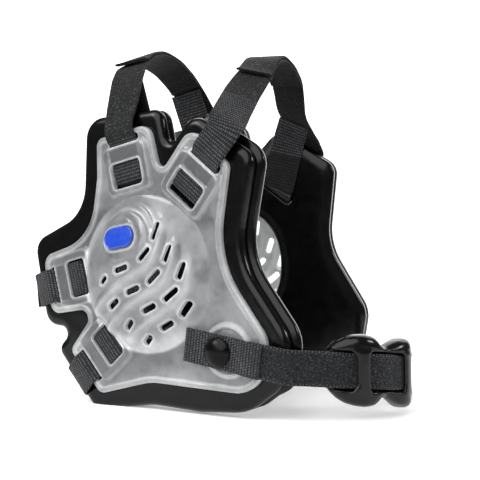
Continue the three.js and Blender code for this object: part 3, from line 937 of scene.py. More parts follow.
@dataclass
class EarShell:
    """Stiff translucent plate with a rim, a vented dome, four strap anchors and a ring round the snap.

    The waves between the rows of vents repeat along one bearing. Each bends by row_curve on one side of its
    middle, up to row_most, and droops on the other. The curls over the badge start and repeat by radius.
    """

    heights: ReliefHeights = ReliefHeights()
    tones: ShellTonesAndPaintedLight = ShellTonesAndPaintedLight()
    plate: float = 2.0
    thinnest: float = 0.9
    rim_high: float = 1.25
    rim_wide: float = 3.5
    dome_u: float = -0.5
    dome_v: float = -8.0
    dome_radius: float = 41.5
    dome_inside: float = 39.5
    dome_rise: float = 11.0
    dome_power: float = 2.5
    window_half: float = 6.9
    window_wide: float = 10.2
    window_corner: float = 2.4
    bar_end: float = BAR_END
    slot_end: float = SLOT_END
    slot_corner: float = 1.0
    pod_start: float = -10.6
    pod_half: float = 15.2
    pod_top: float = 4.3
    pod_corner: float = 4.5
    pod_skirt: float = -0.9
    channel: float = 2.7
    badge_u: float = -9.4
    badge_v: float = 11.5
    badge_turn: float = 9.0
    badge_tilt: float = 9.0
    badge_reach: float = 4.5
    badge_half: float = 5.5
    boss_radius: float = 12.5
    ring_u: float = 51.0
    ring_v: float = -45.4
    ring_top: float = 3.4
    snap_u: float = SNAP_U
    snap_v: float = SNAP_V
    hole: float = 2.2
    vent_wide: float = 3.3
    row_gap: float = 12.6
    row_start: float = 1.75
    row_bearing: float = -50.0
    row_aside: float = 4.0
    row_curve: float = 0.029
    row_most: float = 14.0
    row_droop: float = 6.5
    row_droop_reach: float = 9.0
    curl_start: float = 14.0
    curl_gap: float = 4.4
    curl_drift: float = 0.035
    curl_bearing: float = 60.0
    gates: tuple[tuple[float, float, float], ...] = ((8.4, -17.5, 2.6), (4.1, -33.7, 3.6))
    grid: float = 0.72
    corners: Rows = field(
        default_factory=lambda: [
            (3.2, 71.2, 7.0), (-32.5, 64.8, 5.0), (-32.6, 44.0, 30.0), (-38.2, 11.5, 29.0),
            (-73.3, 1.0, 7.0), (-67.5, -31.3, 6.0), (-34.0, -26.6, 4.8), (-54.2, -50.8, 4.0),
            (-32.8, -73.4, 6.0), (2.0, -64.6, 40.0), (74.2, -66.8, 19.0), (74.2, -37.9, 14.0),
            (45.0, 0.4, 50.0), (53.3, 48.0, 5.0), (30.0, 68.2, 8.0), (10.1, 44.2, 3.8),
        ]
    )
    vents: Rows = field(
        default_factory=lambda: [
            (11.8, 15.1, 79, 9.8), (6.5, 3.2, 48, 9.4), (-8.2, -4.5, 17, 9.9), (-20.6, -10.7, 46, 6.3),
            (20.1, 3.6, 71, 9.7), (12.6, -8.4, 44, 10.4), (-0.6, -15.5, 21, 9.9), (-13.7, -23.2, 37, 8.9),
            (27.5, -5.2, 71, 9.8), (21.5, -17.4, 39, 10.9), (8.4, -24.9, 25, 10.1), (-5.2, -34.0, 47, 7.6),
            (28.7, -24.9, 52, 10.3), (17.0, -33.8, 29, 9.5), (3.9, -42.0, 42, 7.9),
        ]
    )

    def vent_depth(self, points: Array) -> Array:
        """Distance of points inside the nearest vent slot.

        Args:
            points: rows of u and v.

        Returns:
            The distances, negative outside the slots.
        """
        best = np.full(len(points), -FAR)
        for u, v, bearing, long in self.vents:
            gap = line_gap(points, u, v, bearing, (long - self.vent_wide) / 2)
            best = np.maximum(best, self.vent_wide / 2 - gap)
        return best

    def window_gap(self, points: Array, anchor: Anchor) -> Array:
        """Distance of points from the window or the slot of an anchor.

        Args:
            points: rows of u and v.
            anchor: the strap's anchor.

        Returns:
            The distances, negative inside the openings.
        """
        q, p = anchor.local(points)
        half, wide = self.window_half, self.window_wide
        window = box_depth(q, p, -half, half, wide, self.window_corner)
        return -np.maximum(window, box_depth(q, p, self.bar_end, self.slot_end, wide, self.slot_corner))

    def pod_depth(self, points: Array, anchor: Anchor) -> Array:
        """Distance of points inside the raised pod of an anchor."""
        q, p = anchor.local(points)
        return box_depth(q, p, self.pod_start, self.bar_end + 0.2, self.pod_half, self.pod_corner)

    def edge_depth(self, points: Array) -> Array:
        """Distance of points inside the plate's outer edge."""
        return outline_depth(points, rounded_outline(self.corners))

    def depth(self, points: Array) -> Array:
        """Distance of points inside the material of the plate.

        Args:
            points: rows of u and v.

        Returns:
            The distances, negative outside it and in its openings.
        """
        found = self.edge_depth(points)
        for anchor in ANCHORS.values():
            found = np.minimum(found, self.window_gap(points, anchor))
        found = np.minimum(found, -self.vent_depth(points))
        return np.minimum(found, np.hypot(points[:, 0] - self.snap_u, points[:, 1] - self.snap_v) - self.hole)

    def share(self, points: Array) -> Array:
        """Distance of points from the dome's middle, 1 at its edge."""
        return np.hypot(points[:, 0] - self.dome_u, points[:, 1] - self.dome_v) / self.dome_radius

    def wave(self, points: Array) -> Array:
        """Height of the waves between the rows of vents.

        Args:
            points: rows of u and v.

        Returns:
            The heights from 0 to 1.
        """
        a, b = turned(points, 0.0, 0.0, self.row_bearing)
        b = b - self.row_aside
        droop = self.row_droop - self.row_droop / np.sqrt(1.0 + (b / self.row_droop_reach) ** 2)
        bend = np.where(b > 0, self.row_curve * b**2, droop)
        phase = (a + np.minimum(bend, self.row_most) - self.row_start) / self.row_gap
        within = band(phase, (-0.1, 0.35), (3.0, 3.4)) * fade(b, 15.0, 24.0)
        return within * band(phase - np.floor(phase), (0.14, 0.5), (0.52, 0.92))

    def swirl(self, points: Array) -> Array:
        """Height of the ridges that curl over the badge.

        Args:
            points: rows of u and v.

        Returns:
            The heights from 0 to 1.
        """
        x, y = points[:, 0] - self.badge_u, points[:, 1] - self.badge_v
        radius = np.hypot(x, y)
        bearing = np.degrees(np.arctan2(y, x))
        turns = (radius - self.curl_start + self.curl_drift * (bearing - self.curl_bearing)) / self.curl_gap
        crest = band(bearing, (-10.0, 35.0), (125.0, 175.0)) * band(radius, (12.5, 15.0), (22.0, 25.5))
        return (0.5 - 0.5 * np.cos(2.0 * math.pi * turns)) * crest

    def ridges(self, points: Array) -> Array:
        """Height of the moulded waves and curls in millimetres."""
        return self.heights.wave * self.wave(points) + self.heights.curl * self.swirl(points)

    def dome(self, points: Array, radius: float) -> Array:
        """Height of a dome over its foot, steeper at the rear than at the front.

        Args:
            points: rows of u and v.
            radius: radius of the foot.

        Returns:
            The heights, negative outside the foot.
        """
        share = self.share(points) * self.dome_radius / radius
        rearward = 0.5 - 0.5 * (points[:, 0] - self.dome_u) / np.maximum(share * radius, 1e-6)
        power = self.dome_power - 0.3 + 2.0 * ease(rearward, 0.35, 0.9)
        return self.dome_rise * (1.0 - share**power)

    def badge_gap(self, points: Array) -> Array:
        """Distance of points from the badge's edge."""
        gap = line_gap(points, self.badge_u, self.badge_v, self.badge_turn, self.badge_reach)
        return gap - self.badge_half

    def badge_lean(self) -> float:
        """Bearing of the badge from the dome's middle, in radians."""
        return math.atan2(self.badge_v - self.dome_v, self.badge_u - self.dome_u)

    def badge_level(self) -> float:
        """Height of the dome under the badge."""
        middle = math.hypot(self.badge_v - self.dome_v, self.badge_u - self.dome_u) / self.dome_radius
        return self.plate + self.dome_rise * (1.0 - middle**self.dome_power)

    def with_boss(self, points: Array, top: Array) -> Array:
        """Height of the outside with the badge's round boss on it.

        Args:
            points: rows of u and v.
            top: height before the boss is added.

        Returns:
            The heights.
        """
        x, y = points[:, 0] - self.badge_u, points[:, 1] - self.badge_v
        lean = self.badge_lean()
        fall = math.tan(math.radians(self.badge_tilt)) * (x * math.cos(lean) + y * math.sin(lean))
        boss = self.badge_level() + self.heights.boss - fall
        disc = fade(np.hypot(x, y), self.boss_radius - 1.6, self.boss_radius + 0.5)
        return top + (np.maximum(boss, top) - top) * disc

    def with_pod(self, points: Array, top: Array, anchor: Anchor) -> Array:
        """Height of the outside with one raised strap anchor on it.

        Args:
            points: rows of u and v.
            top: height before the anchor is added.
            anchor: the anchor.

        Returns:
            The heights.
        """
        high = self.heights
        q, p = anchor.local(points)
        pod = self.pod_depth(points, anchor)
        rise = self.plate + (self.pod_top - self.plate) * ease(pod, self.pod_skirt, 1.3)
        bar = box_depth(q, p, self.window_half, self.bar_end, self.window_wide + 1.0, 1.0)
        rise = rise - high.bar_dip * ease(bar, 0.8, 1.5)
        rise += high.window_lip * fade(self.window_gap(points, anchor), 0.5, 1.4)
        seat = np.abs(np.hypot(q - (self.window_half + self.bar_end) / 2, p + 1.5) - 2.3)
        rise += high.bar_seat * fade(seat, 0.2, 0.7)
        return np.where(pod > self.pod_skirt, np.maximum(top, rise), top)

    def front(self, points: Array) -> Array:
        """Height of the outside.

        Args:
            points: rows of u and v.

        Returns:
            The heights.
        """
        high = self.heights
        top = self.plate + self.rim_high * band(self.edge_depth(points), (-0.5, 1.0), (2.3, self.rim_wide))
        top = soft_max(top, self.plate + self.dome(points, self.dome_radius), 1.0)
        top += self.ridges(points) * fade(self.share(points), 0.84, 0.97)
        top = self.with_boss(points, top)
        top += high.badge_lip * fade(np.abs(self.badge_gap(points) - 1.0), 0.3, 0.9)
        top += high.vent_lip * fade(-self.vent_depth(points), 0.45, 1.5)
        for anchor in ANCHORS.values():
            top = self.with_pod(points, top, anchor)
        ring = np.hypot(points[:, 0] - self.ring_u, points[:, 1] - self.ring_v)
        top += high.snap_ring * band(ring, (11.0, 12.0), (13.6, 14.9)) * (top < self.ring_top)
        for u, v, radius in self.gates:
            gate = np.abs(np.hypot(points[:, 0] - u, points[:, 1] - v) - radius)
            top += high.gate * fade(gate, 0.2, 0.8)
        return top

    def pale(self, points: Array) -> Array:
        """Tone of the plastic: its milkiness, with painted highlights at rims, lips, crests and the dome's
        rear edge, and painted shade at the dome's foot and over the pods and bars.

        Args:
            points: rows of u and v.

        Returns:
            The tone, about 0 to 1.
        """
        tone = self.tones
        inset, share = self.edge_depth(points), self.share(points)
        found = tone.plate + tone.dome * fade(share, 0.9, 1.04) + tone.brim * fade(inset, 2.6, 3.6)
        # Painted highlights: a line on the rim's inner step, and the outer edge.
        found += tone.rim * fade(np.abs(inset - 2.9), 0.2, 0.9) + tone.edge * fade(inset, 0.3, 1.1)
        # The dome's rear side faces the light: a painted highlight along its edge and painted shade at its
        # foot there.
        rear = -(0.72 * (points[:, 0] - self.dome_u) + 0.69 * (points[:, 1] - self.dome_v)) / self.dome_radius
        rear = ease(rear, -0.45, 0.35)
        found += tone.dome_edge_highlight * band(share, (0.74, 0.94), (0.985, 1.02)) * rear
        found += tone.dome_foot_shade * band(share, (0.99, 1.03), (1.05, 1.4)) * rear
        # Painted highlights on the crests of the waves and curls, and on the lips of the vents and the badge.
        found += tone.ridge_highlight * (self.wave(points) + self.swirl(points)) * fade(share, 0.84, 0.97)
        found += tone.vent * fade(-self.vent_depth(points), 0.5, 1.4)
        found += tone.badge * fade(np.abs(self.badge_gap(points) - 1.0), 0.3, 0.9)
        for anchor in ANCHORS.values():
            q, p = anchor.local(points)
            pod = self.pod_depth(points, anchor)
            bar = box_depth(q, p, self.window_half, self.bar_end, self.window_wide, 1.0)
            # Painted highlights on pod edges and window lips; painted shade over the pods and bars, where the
            # strap lies behind the plastic.
            found += tone.pod_edge_highlight * fade(np.abs(pod - 0.5), 0.3, 1.3) + tone.pod * ease(pod, 0.9, 2.2)
            found += tone.bar * ease(bar, 0.6, 1.6)
            found += tone.window * fade(self.window_gap(points, anchor), 0.3, 1.1)
        ring = np.hypot(points[:, 0] - self.ring_u, points[:, 1] - self.ring_v)
        # Painted highlight on the ring round the snap.
        return found + tone.snap_ring * band(ring, (10.8, 11.8), (13.8, 14.9))

    def back(self, points: Array) -> Array:
        """Height of the inside.

        Args:
            points: rows of u and v.

        Returns:
            The heights.
        """
        high = self.heights
        low = soft_max(np.zeros(len(points)), self.dome(points, self.dome_inside), 1.2) - high.badge_seat
        low += self.ridges(points) * fade(self.share(points), 0.8, 0.93)
        badge = np.hypot(points[:, 0] - self.badge_u, points[:, 1] - self.badge_v)
        low += high.badge_seat * ease(np.abs(badge - 8.0), 0.3, 0.9)
        for anchor in ANCHORS.values():
            q, p = anchor.local(points)
            bar = box_depth(q, p, -self.window_half - 0.4, self.slot_end, self.window_wide + 0.4, 0.5)
            low = np.where(bar > 0, np.maximum(low, self.channel), low)
        return low + high.vent_thinning * fade(-self.vent_depth(points), 0.6, 2.6)

    def build(self, side: Side, finish: Material) -> Piece:
        """Build the shell of one side.

        Args:
            side: the wearer's side.
            finish: its material.

        Returns:
            The object.
        """
        outline = np.array(self.corners)[:, :2]
        points, faces, borders = clipped_grid(self.depth, outline.min(0) - 1, outline.max(0) + 1, self.grid)
        front = self.front(points)
        back = np.minimum(self.back(points), front - self.thinnest)
        local = np.concatenate([np.column_stack([points, level]) for level in (front, back)])
        made = plate_faces(len(points), faces, borders, 0)
        # The tone per vertex carries the milkiness with painted highlights and painted shade.
        kept, made, extra = without_loose(local, made, {"milk_and_painted_light": np.tile(self.pale(points), 2)})
        piece = GUARD.piece(f"shell_{side.value}", side, kept, made, finish, 30.0)
        mark(piece, "milk_and_painted_light", extra["milk_and_painted_light"])
        return settle(piece, "shell_plastic", f"{side.value}_shell")


# The left pad's edge leans out towards its shell
RAKED_EDGE: Rows = [
    (0.95, -11.0), (1.25, -10.2), (1.4, -9.2), (1.5, -8.0), (1.5, -7.1), (1.05, -6.4), (1.75, -5.8),
    (2.05, -5.0), (2.3, -4.0), (2.45, -3.0), (2.4, -2.2), (1.9, -1.5),
]


@dataclass
class EarPad:
    """Dipped foam pad behind the shell, with an ear hole, an edge groove and four slanted strap slits.

    The rear layer is wider than the front one by the flange, at the front edge. The edge and ear rings are
    distances out of the flat and depths, from the back to the front.
    """

    face: float = -0.3
    rear: float = -12.3
    ear_u: float = 0.9
    ear_v: float = -7.7
    ear_half_u: float = 28.9
    ear_half_v: float = 34.1
    ear_power: float = 2.15
    slit_half: float = 10.0
    slit_thick: float = 3.4
    slit_front: float = SLIT_FRONT
    slit_back: float = SLIT_BACK
    slit_span: float = 14.9
    slit_level: float = 1.2
    edge: float = 1.6
    flange: float = 3.2
    toe: float = 85.4
    toe_high: float = -38.5
    waist: float = 55.5
    waist_high: float = 1.5
    brow: float = 65.8
    grid: float = 0.95
    floor: float = -80.0
    corners: Rows = field(
        default_factory=lambda: [
            (29.0, 75.5, 9.0), (13.0, 57.5, 3.5), (8.2, 79.3, 7.0), (-43.4, 76.8, 12.0),
            (-45.2, 46.0, 30.0), (-46.5, 25.5, 24.0), (-84.3, 9.5, 10.0), (-75.5, -37.5, 9.0),
            (-56.0, -39.5, 4.0), (-67.5, -51.0, 5.0), (-40.0, -83.5, 8.0), (0.0, -77.5, 50.0),
            (30.0, -78.8, 40.0), (59.5, -76.8, 30.0),
        ]
    )
    edge_rings: Rows = field(
        default_factory=lambda: [
            (1.05, -11.0), (1.45, -10.0), (1.6, -9.0), (1.55, -7.8), (1.2, -7.0), (0.2, -6.3), (1.2, -5.7),
            (1.55, -5.1), (1.65, -4.2), (1.55, -3.2), (1.3, -2.4), (0.8, -1.55),
        ]
    )
    ear_rings: Rows = field(
        default_factory=lambda: [
            (0.7, -10.4), (1.2, -9.0), (1.5, -7.0), (1.5, -6.2), (1.5, -5.6), (1.5, -5.0), (1.5, -4.4),
            (1.5, -3.8), (1.5, -3.2), (1.5, -2.4), (1.3, -1.6), (0.8, -0.9),
        ]
    )

    def outline(self) -> Array:
        """Outline of the pad: the shared corners, then those of the front edge.

        Returns:
            Points in order.
        """
        front = [
            (self.toe - 4.4, -61.5, 20.0),
            (self.toe, self.toe_high, 18.0),
            (self.waist, self.waist_high, 40.0),
            (self.brow, 52.5, 9.0),
        ]
        return rounded_outline([*self.corners, *front])

    def ear_depth(self, points: Array) -> Array:
        """Distance of points inside the ear hole, by its oval.

        Args:
            points: rows of u and v.

        Returns:
            The distances, negative outside the hole.
        """
        turn = np.linspace(0.0, 2.0 * math.pi, 145)[:-1]
        c, s = np.cos(turn), np.sin(turn)
        share = 2.0 / self.ear_power
        u = self.ear_u + self.ear_half_u * np.sign(c) * np.abs(c) ** share
        v = self.ear_v + self.ear_half_v * np.sign(s) * np.abs(s) ** share
        return outline_depth(points, np.column_stack([u, v]))

    def slit_gap(self, points: Array, anchor: Anchor) -> Array:
        """Distance of points from an anchor's slit at the middle of the pad's depth, negative inside it."""
        middle, half = (self.slit_front + self.slit_back) / 2, self.slit_thick / 2
        return -box_depth(*anchor.local(points), middle - half, middle + half, self.slit_half, 1.0)

    def slits_gap(self, points: Array) -> Array:
        """Distance of points from the nearest slit."""
        return np.min([self.slit_gap(points, anchor) for anchor in ANCHORS.values()], axis=0)

    def depth(self, points: Array) -> Array:
        """Distance of points inside the flat of the pad, which is drawn in from its edges."""
        found = np.minimum(outline_depth(points, self.outline()), -self.ear_depth(points)) - self.edge
        return np.minimum(found, self.slits_gap(points))

    def slanted(self, points: Array, w: Array) -> Array:
        """Points near a slit moved along the strap with their depth.

        Args:
            points: rows of u and v.
            w: depth of each point.

        Returns:
            The moved points.
        """
        moved = points.copy()
        middle = (self.slit_front + self.slit_back) / 2
        at = self.slit_front + (self.slit_level - w) * (self.slit_back - self.slit_front) / self.slit_span
        for anchor in ANCHORS.values():
            shift = (at - middle) * fade(self.slit_gap(points, anchor), 1.0, 8.0)
            turn = math.radians(anchor.out)
            moved += shift[:, None] * np.array([math.cos(turn), math.sin(turn)])
        return moved

    def build(self, side: Side, finish: Material) -> Piece:
        """Build the pad of one side.

        Args:
            side: the wearer's side.
            finish: its material.

        Returns:
            The object.
        """
        outline = self.outline()
        points, faces, borders = clipped_grid(self.depth, outline.min(0), outline.max(0), self.grid)
        inset, ear, slit = outline_depth(points, outline), -self.ear_depth(points), self.slits_gap(points)
        front = self.face - round_off(inset, 4.2, 3.0) - round_off(ear, 3.5, 1.4)
        back = self.rear + round_off(inset, 7.0, 2.6) + round_off(ear, 6.0, 2.4) + round_off(slit, 1.8, 1.2)
        out = downhill(self.depth, points, 0.25)
        ahead = ease(out[:, 0] + 0.3 * out[:, 1], 0.1, 0.75) * ease(points[:, 0], 18.0, 28.0)
        kind = np.argmin(np.stack([inset - self.edge, ear - self.edge, slit]), axis=0)
        layers = [(points, front), (points, back)]
        deepest, shallowest = self.edge_rings[0][1], self.edge_rings[-1][1]
        for (edge_out, edge_w), (ear_out, ear_w) in zip(self.edge_rings, self.ear_rings):
            wider = self.flange * float(ease(np.array(-edge_w), 5.9, 7.4)) * ahead
            reach = np.choose(kind, [edge_out + wider, np.full(len(points), ear_out), np.zeros(len(points))])
            share = (edge_w - deepest) / (shallowest - deepest)
            through = back + (front - back) * (0.05 + 0.9 * share)
            w = np.choose(kind, [np.full(len(points), edge_w), np.full(len(points), ear_w), through])
            layers.append((points + out * reach[:, None], w))
        local = np.concatenate([np.column_stack([self.slanted(xy, w), w]) for xy, w in layers])
        local[:, 1] = np.maximum(local[:, 1], self.floor)
        made = plate_faces(len(points), faces, borders, len(self.edge_rings))
        kept, made, _ = without_loose(local, made, {})
        piece = GUARD.piece(f"pad_{side.value}", side, kept, made, finish, 60.0)
        settle(piece, "pad_vinyl", f"{side.value}_pad")
        return piece


# Straps


@dataclass
class Course:
    """Fine stations along a strap: place, direction, across, face and distance along it."""

    p: Array
    t: Array
    b: Array
    n: Array
    s: Array

    def at(self, s: float) -> tuple[Array, Array, Array, Array]:
        """Place, direction, across and face at a distance along the strap."""
        p, t, b, n = (between(s, self.s, part) for part in (self.p, self.t, self.b, self.n))
        return p, unit(t), unit(b), unit(n)

    def mirrored(self) -> "Course":
        """The same course on the other side of the middle plane."""
        return Course(self.p * MIRROR, self.t * MIRROR, self.b * MIRROR, self.n * MIRROR, self.s)

    def until_past_middle(self, reach: float) -> "Course":
        """The course cut off at a reach past the middle plane."""
        kept = self.s <= reach + self.s[np.argmax((self.p[:, 1] > 0.0) & (self.s > 0.5 * self.s[-1]))]
        return Course(self.p[kept], self.t[kept], self.b[kept], self.n[kept], self.s[kept])

    @staticmethod
    def through(corners: list[tuple[Array, float, Array]], step: float = 1.0) -> "Course":
        """Course through corners with bend radii, smoothed a little in place and more in its turn.

        Args:
            corners: place, bend radius and across direction of each corner.
            step: distance between stations.

        Returns:
            The course.
        """
        points: list[Array] = []
        sides: list[Array] = []
        for i, (p, r, b) in enumerate(corners):
            if i in (0, len(corners) - 1):
                points.append(p)
                sides.append(b)
                continue
            back, on = corners[i - 1][0] - p, corners[i + 1][0] - p
            room = 0.48 * min(np.linalg.norm(back), np.linalg.norm(on))
            back, on = unit(back), unit(on)
            half = math.acos(float(np.clip(back @ on, -1.0, 1.0))) / 2.0
            bend = arc(p, back, on, min(r, room * math.tan(half)), 8.0)
            points.extend(bend)
            sides.extend([b] * len(bend))
        lengths = run_lengths(np.array(points))
        s = np.linspace(0.0, lengths[-1], int(lengths[-1] / step) + 1)
        p = between(s, lengths, np.array(points))
        b = between(s, lengths, np.array(sides))
        for rows, passes in ((p, 6), (b, 40)):
            for _ in range(passes):
                rows[1:-1] = 0.25 * rows[:-2] + 0.5 * rows[1:-1] + 0.25 * rows[2:]
        t = unit(np.gradient(p, axis=0))
        b = unit(b - t * np.sum(b * t, axis=1, keepdims=True))
        return Course(p, t, b, np.cross(b, t), run_lengths(p))


@dataclass
class Ribbon:
    """Cross-section of a flat strap: full width and thickness, with soft edges."""

    wide: float = 17.5
    thick: float = 1.4
    columns: int = 15

    def section(self) -> Array:
        """Cross-section of the strap.

        Returns:
            A closed ring of points, each a place across the strap and a height.
        """
        half, rise = self.wide / 2, self.thick / 2
        xs = np.linspace(-half + rise, half - rise, self.columns)
        turn = np.radians([60.0, 20.0, -20.0, -60.0])
        right = np.column_stack([half - rise + rise * np.cos(turn), rise * np.sin(turn)])
        left = np.column_stack([-half + rise - rise * np.cos(turn), -rise * np.sin(turn)])
        top = np.column_stack([xs, np.full(self.columns, rise)])
        low = np.column_stack([xs[::-1], np.full(self.columns, -rise)])
        return np.concatenate([top, right, low, left])

    def build(
        self,
        name: str,
        course: Course,
        finish: Material,
        pile: Depth | None = None,
        shade_and_dark_foot: Callable[[Array, Array], Array] | None = None,
    ) -> Piece:
        """Build the strap along a course.

        Args:
            name: name of the piece.
            course: its path.
            finish: its material.
            pile: share of loop pile by distance along the strap.
            shade_and_dark_foot: share of darkening by distance along the strap and height in its thickness:
                painted shade on the face turned to the head, and a darker foot.

        Returns:
            The object.
        """
        ring = self.section()
        size = len(ring)
        count = len(course.p)
        spread = ring[None, :, :1] * course.b[:, None] + ring[None, :, 1:] * course.n[:, None]
        flat = (course.p[:, None] + spread).reshape(-1, 3)
        faces = tube_faces(count, size)
        faces.append(tuple(range(size)))
        faces.append(tuple(range((count - 1) * size, count * size))[::-1])
        first = flat[list(faces[(count // 2) * size])]
        facing = np.cross(first[1] - first[0], first[2] - first[0]) @ (first.mean(0) - course.p[count // 2])
        if facing < 0:
            faces = flipped(faces)
        piece = mesh_piece(name, flat, faces, finish, 50.0)
        along = np.repeat(course.s, size)
        across, high = np.tile(ring, (count, 1)).T
        mark(piece, "weave", np.column_stack([across, along, high]))
        mark(piece, "pile", pile(along) if pile else np.zeros(len(along)))
        mark(piece, "shade_and_dark_foot", shade_and_dark_foot(along, high) if shade_and_dark_foot else np.zeros(len(along)))
        return piece


@dataclass(frozen=True)
class Join:
    """Where a half's inner leg is sewn to it: a row, a share of the way back, and two shifts aside."""

    row: int = 1
    share: float = 0.25
    aside: float = 0.0
    leg_aside: float = 0.0


@dataclass
class Arch:
    """Free run of a strap from each guard to the middle plane, both given as on the right side.

    A row is x, y, z, bend radius and the turn of the strap's width. A lap is how far a half reaches past
    the middle, pile_from is where its loop pile starts, measured from its seam, and patch is the length of
    the darker stretch on the foot of its inner leg.
    """

    exits: dict[Side, float]
    away: tuple[float, float, float]
    laps: dict[Side, float]
    rows: dict[Side, Rows]
    wide: float = 18.8
    pile_from: float = 0.0
    exit_high: float = 2.8
    patch: float = 0.0
    joins: dict[Side, Join] = field(default_factory=lambda: {Side.RIGHT: Join(), Side.LEFT: Join()})


NAPE_UPPER_ROWS: Rows = [(-84.5, -36, 60.3, 9, 104), (-94, -18.5, 59, 20, 94), (-98, 0, 58, 40, 90)]
NAPE_LOWER_ROWS: Rows = [(-54.5, -41.5, 9.8, 7, 128), (-64.5, -24, 11, 16, 116), (-68.5, 0, 12, 40, 110)]

ARCHES: dict[str, Arch] = {
    "crown_rear": Arch(
        {Side.RIGHT: 26.5, Side.LEFT: 26.5},
        (0.0, 0.0, 1.0),
        {Side.RIGHT: 38.5, Side.LEFT: 35.5},
        {
            Side.RIGHT: [
                (-16.2, -54.5, 166, 20, 6), (-19.4, -44.5, 179, 24, 2), (-22, -35, 186.5, 20, 6),
                (-24.5, -19, 193, 30, 12), (-26, 0, 196, 40, 15),
            ],
            Side.LEFT: [
                (-18.5, -53, 164, 20, 14), (-21, -42, 175.5, 24, 18), (-23, -31, 185, 25, 18),
                (-24.8, -18, 192.2, 30, 17), (-26, 0, 196, 40, 15),
            ],
        },
        19.2,
        -36.0,
        4.2,
        joins={Side.RIGHT: Join(), Side.LEFT: Join(2, 0.5, 1.2, 3.4)},
    ),
    "crown_front": Arch(
        {Side.RIGHT: 39.0, Side.LEFT: 33.5},
        (0.0, 0.0, 1.0),
        {Side.RIGHT: 30.0, Side.LEFT: 34.0},
        {
            Side.RIGHT: [
                (49.5, -59.5, 155.5, 14, -34), (49, -44, 167.5, 40, -28), (49, -28, 178.2, 30, -20),
                (48.5, -15.5, 186.9, 30, -6), (47, 0, 191.0, 25, -1),
            ],
            Side.LEFT: [
                (46.8, -61.0, 151.5, 10, -30), (43.6, -43, 162, 30, -20), (45.6, -35, 172, 30, -12),
                (47.5, -26, 180.5, 18, -4), (48, -14, 186.4, 18, -2), (47, 0, 191.0, 25, -1),
            ],
        },
        19.4,
        patch=22.0,
    ),
    "nape_upper": Arch(
        {Side.RIGHT: 33.0, Side.LEFT: 33.0},
        (-1.0, 0.0, 0.0),
        {Side.RIGHT: 20.5, Side.LEFT: 20.5},
        {Side.RIGHT: NAPE_UPPER_ROWS, Side.LEFT: NAPE_UPPER_ROWS},
        exit_high=1.2,
    ),
    "nape_lower": Arch(
        {Side.RIGHT: 33.5, Side.LEFT: 33.5},
        (-1.0, 0.0, 0.0),
        {Side.RIGHT: 26.0, Side.LEFT: 26.0},
        {Side.RIGHT: NAPE_LOWER_ROWS, Side.LEFT: NAPE_LOWER_ROWS},
        exit_high=1.6,
    ),
}


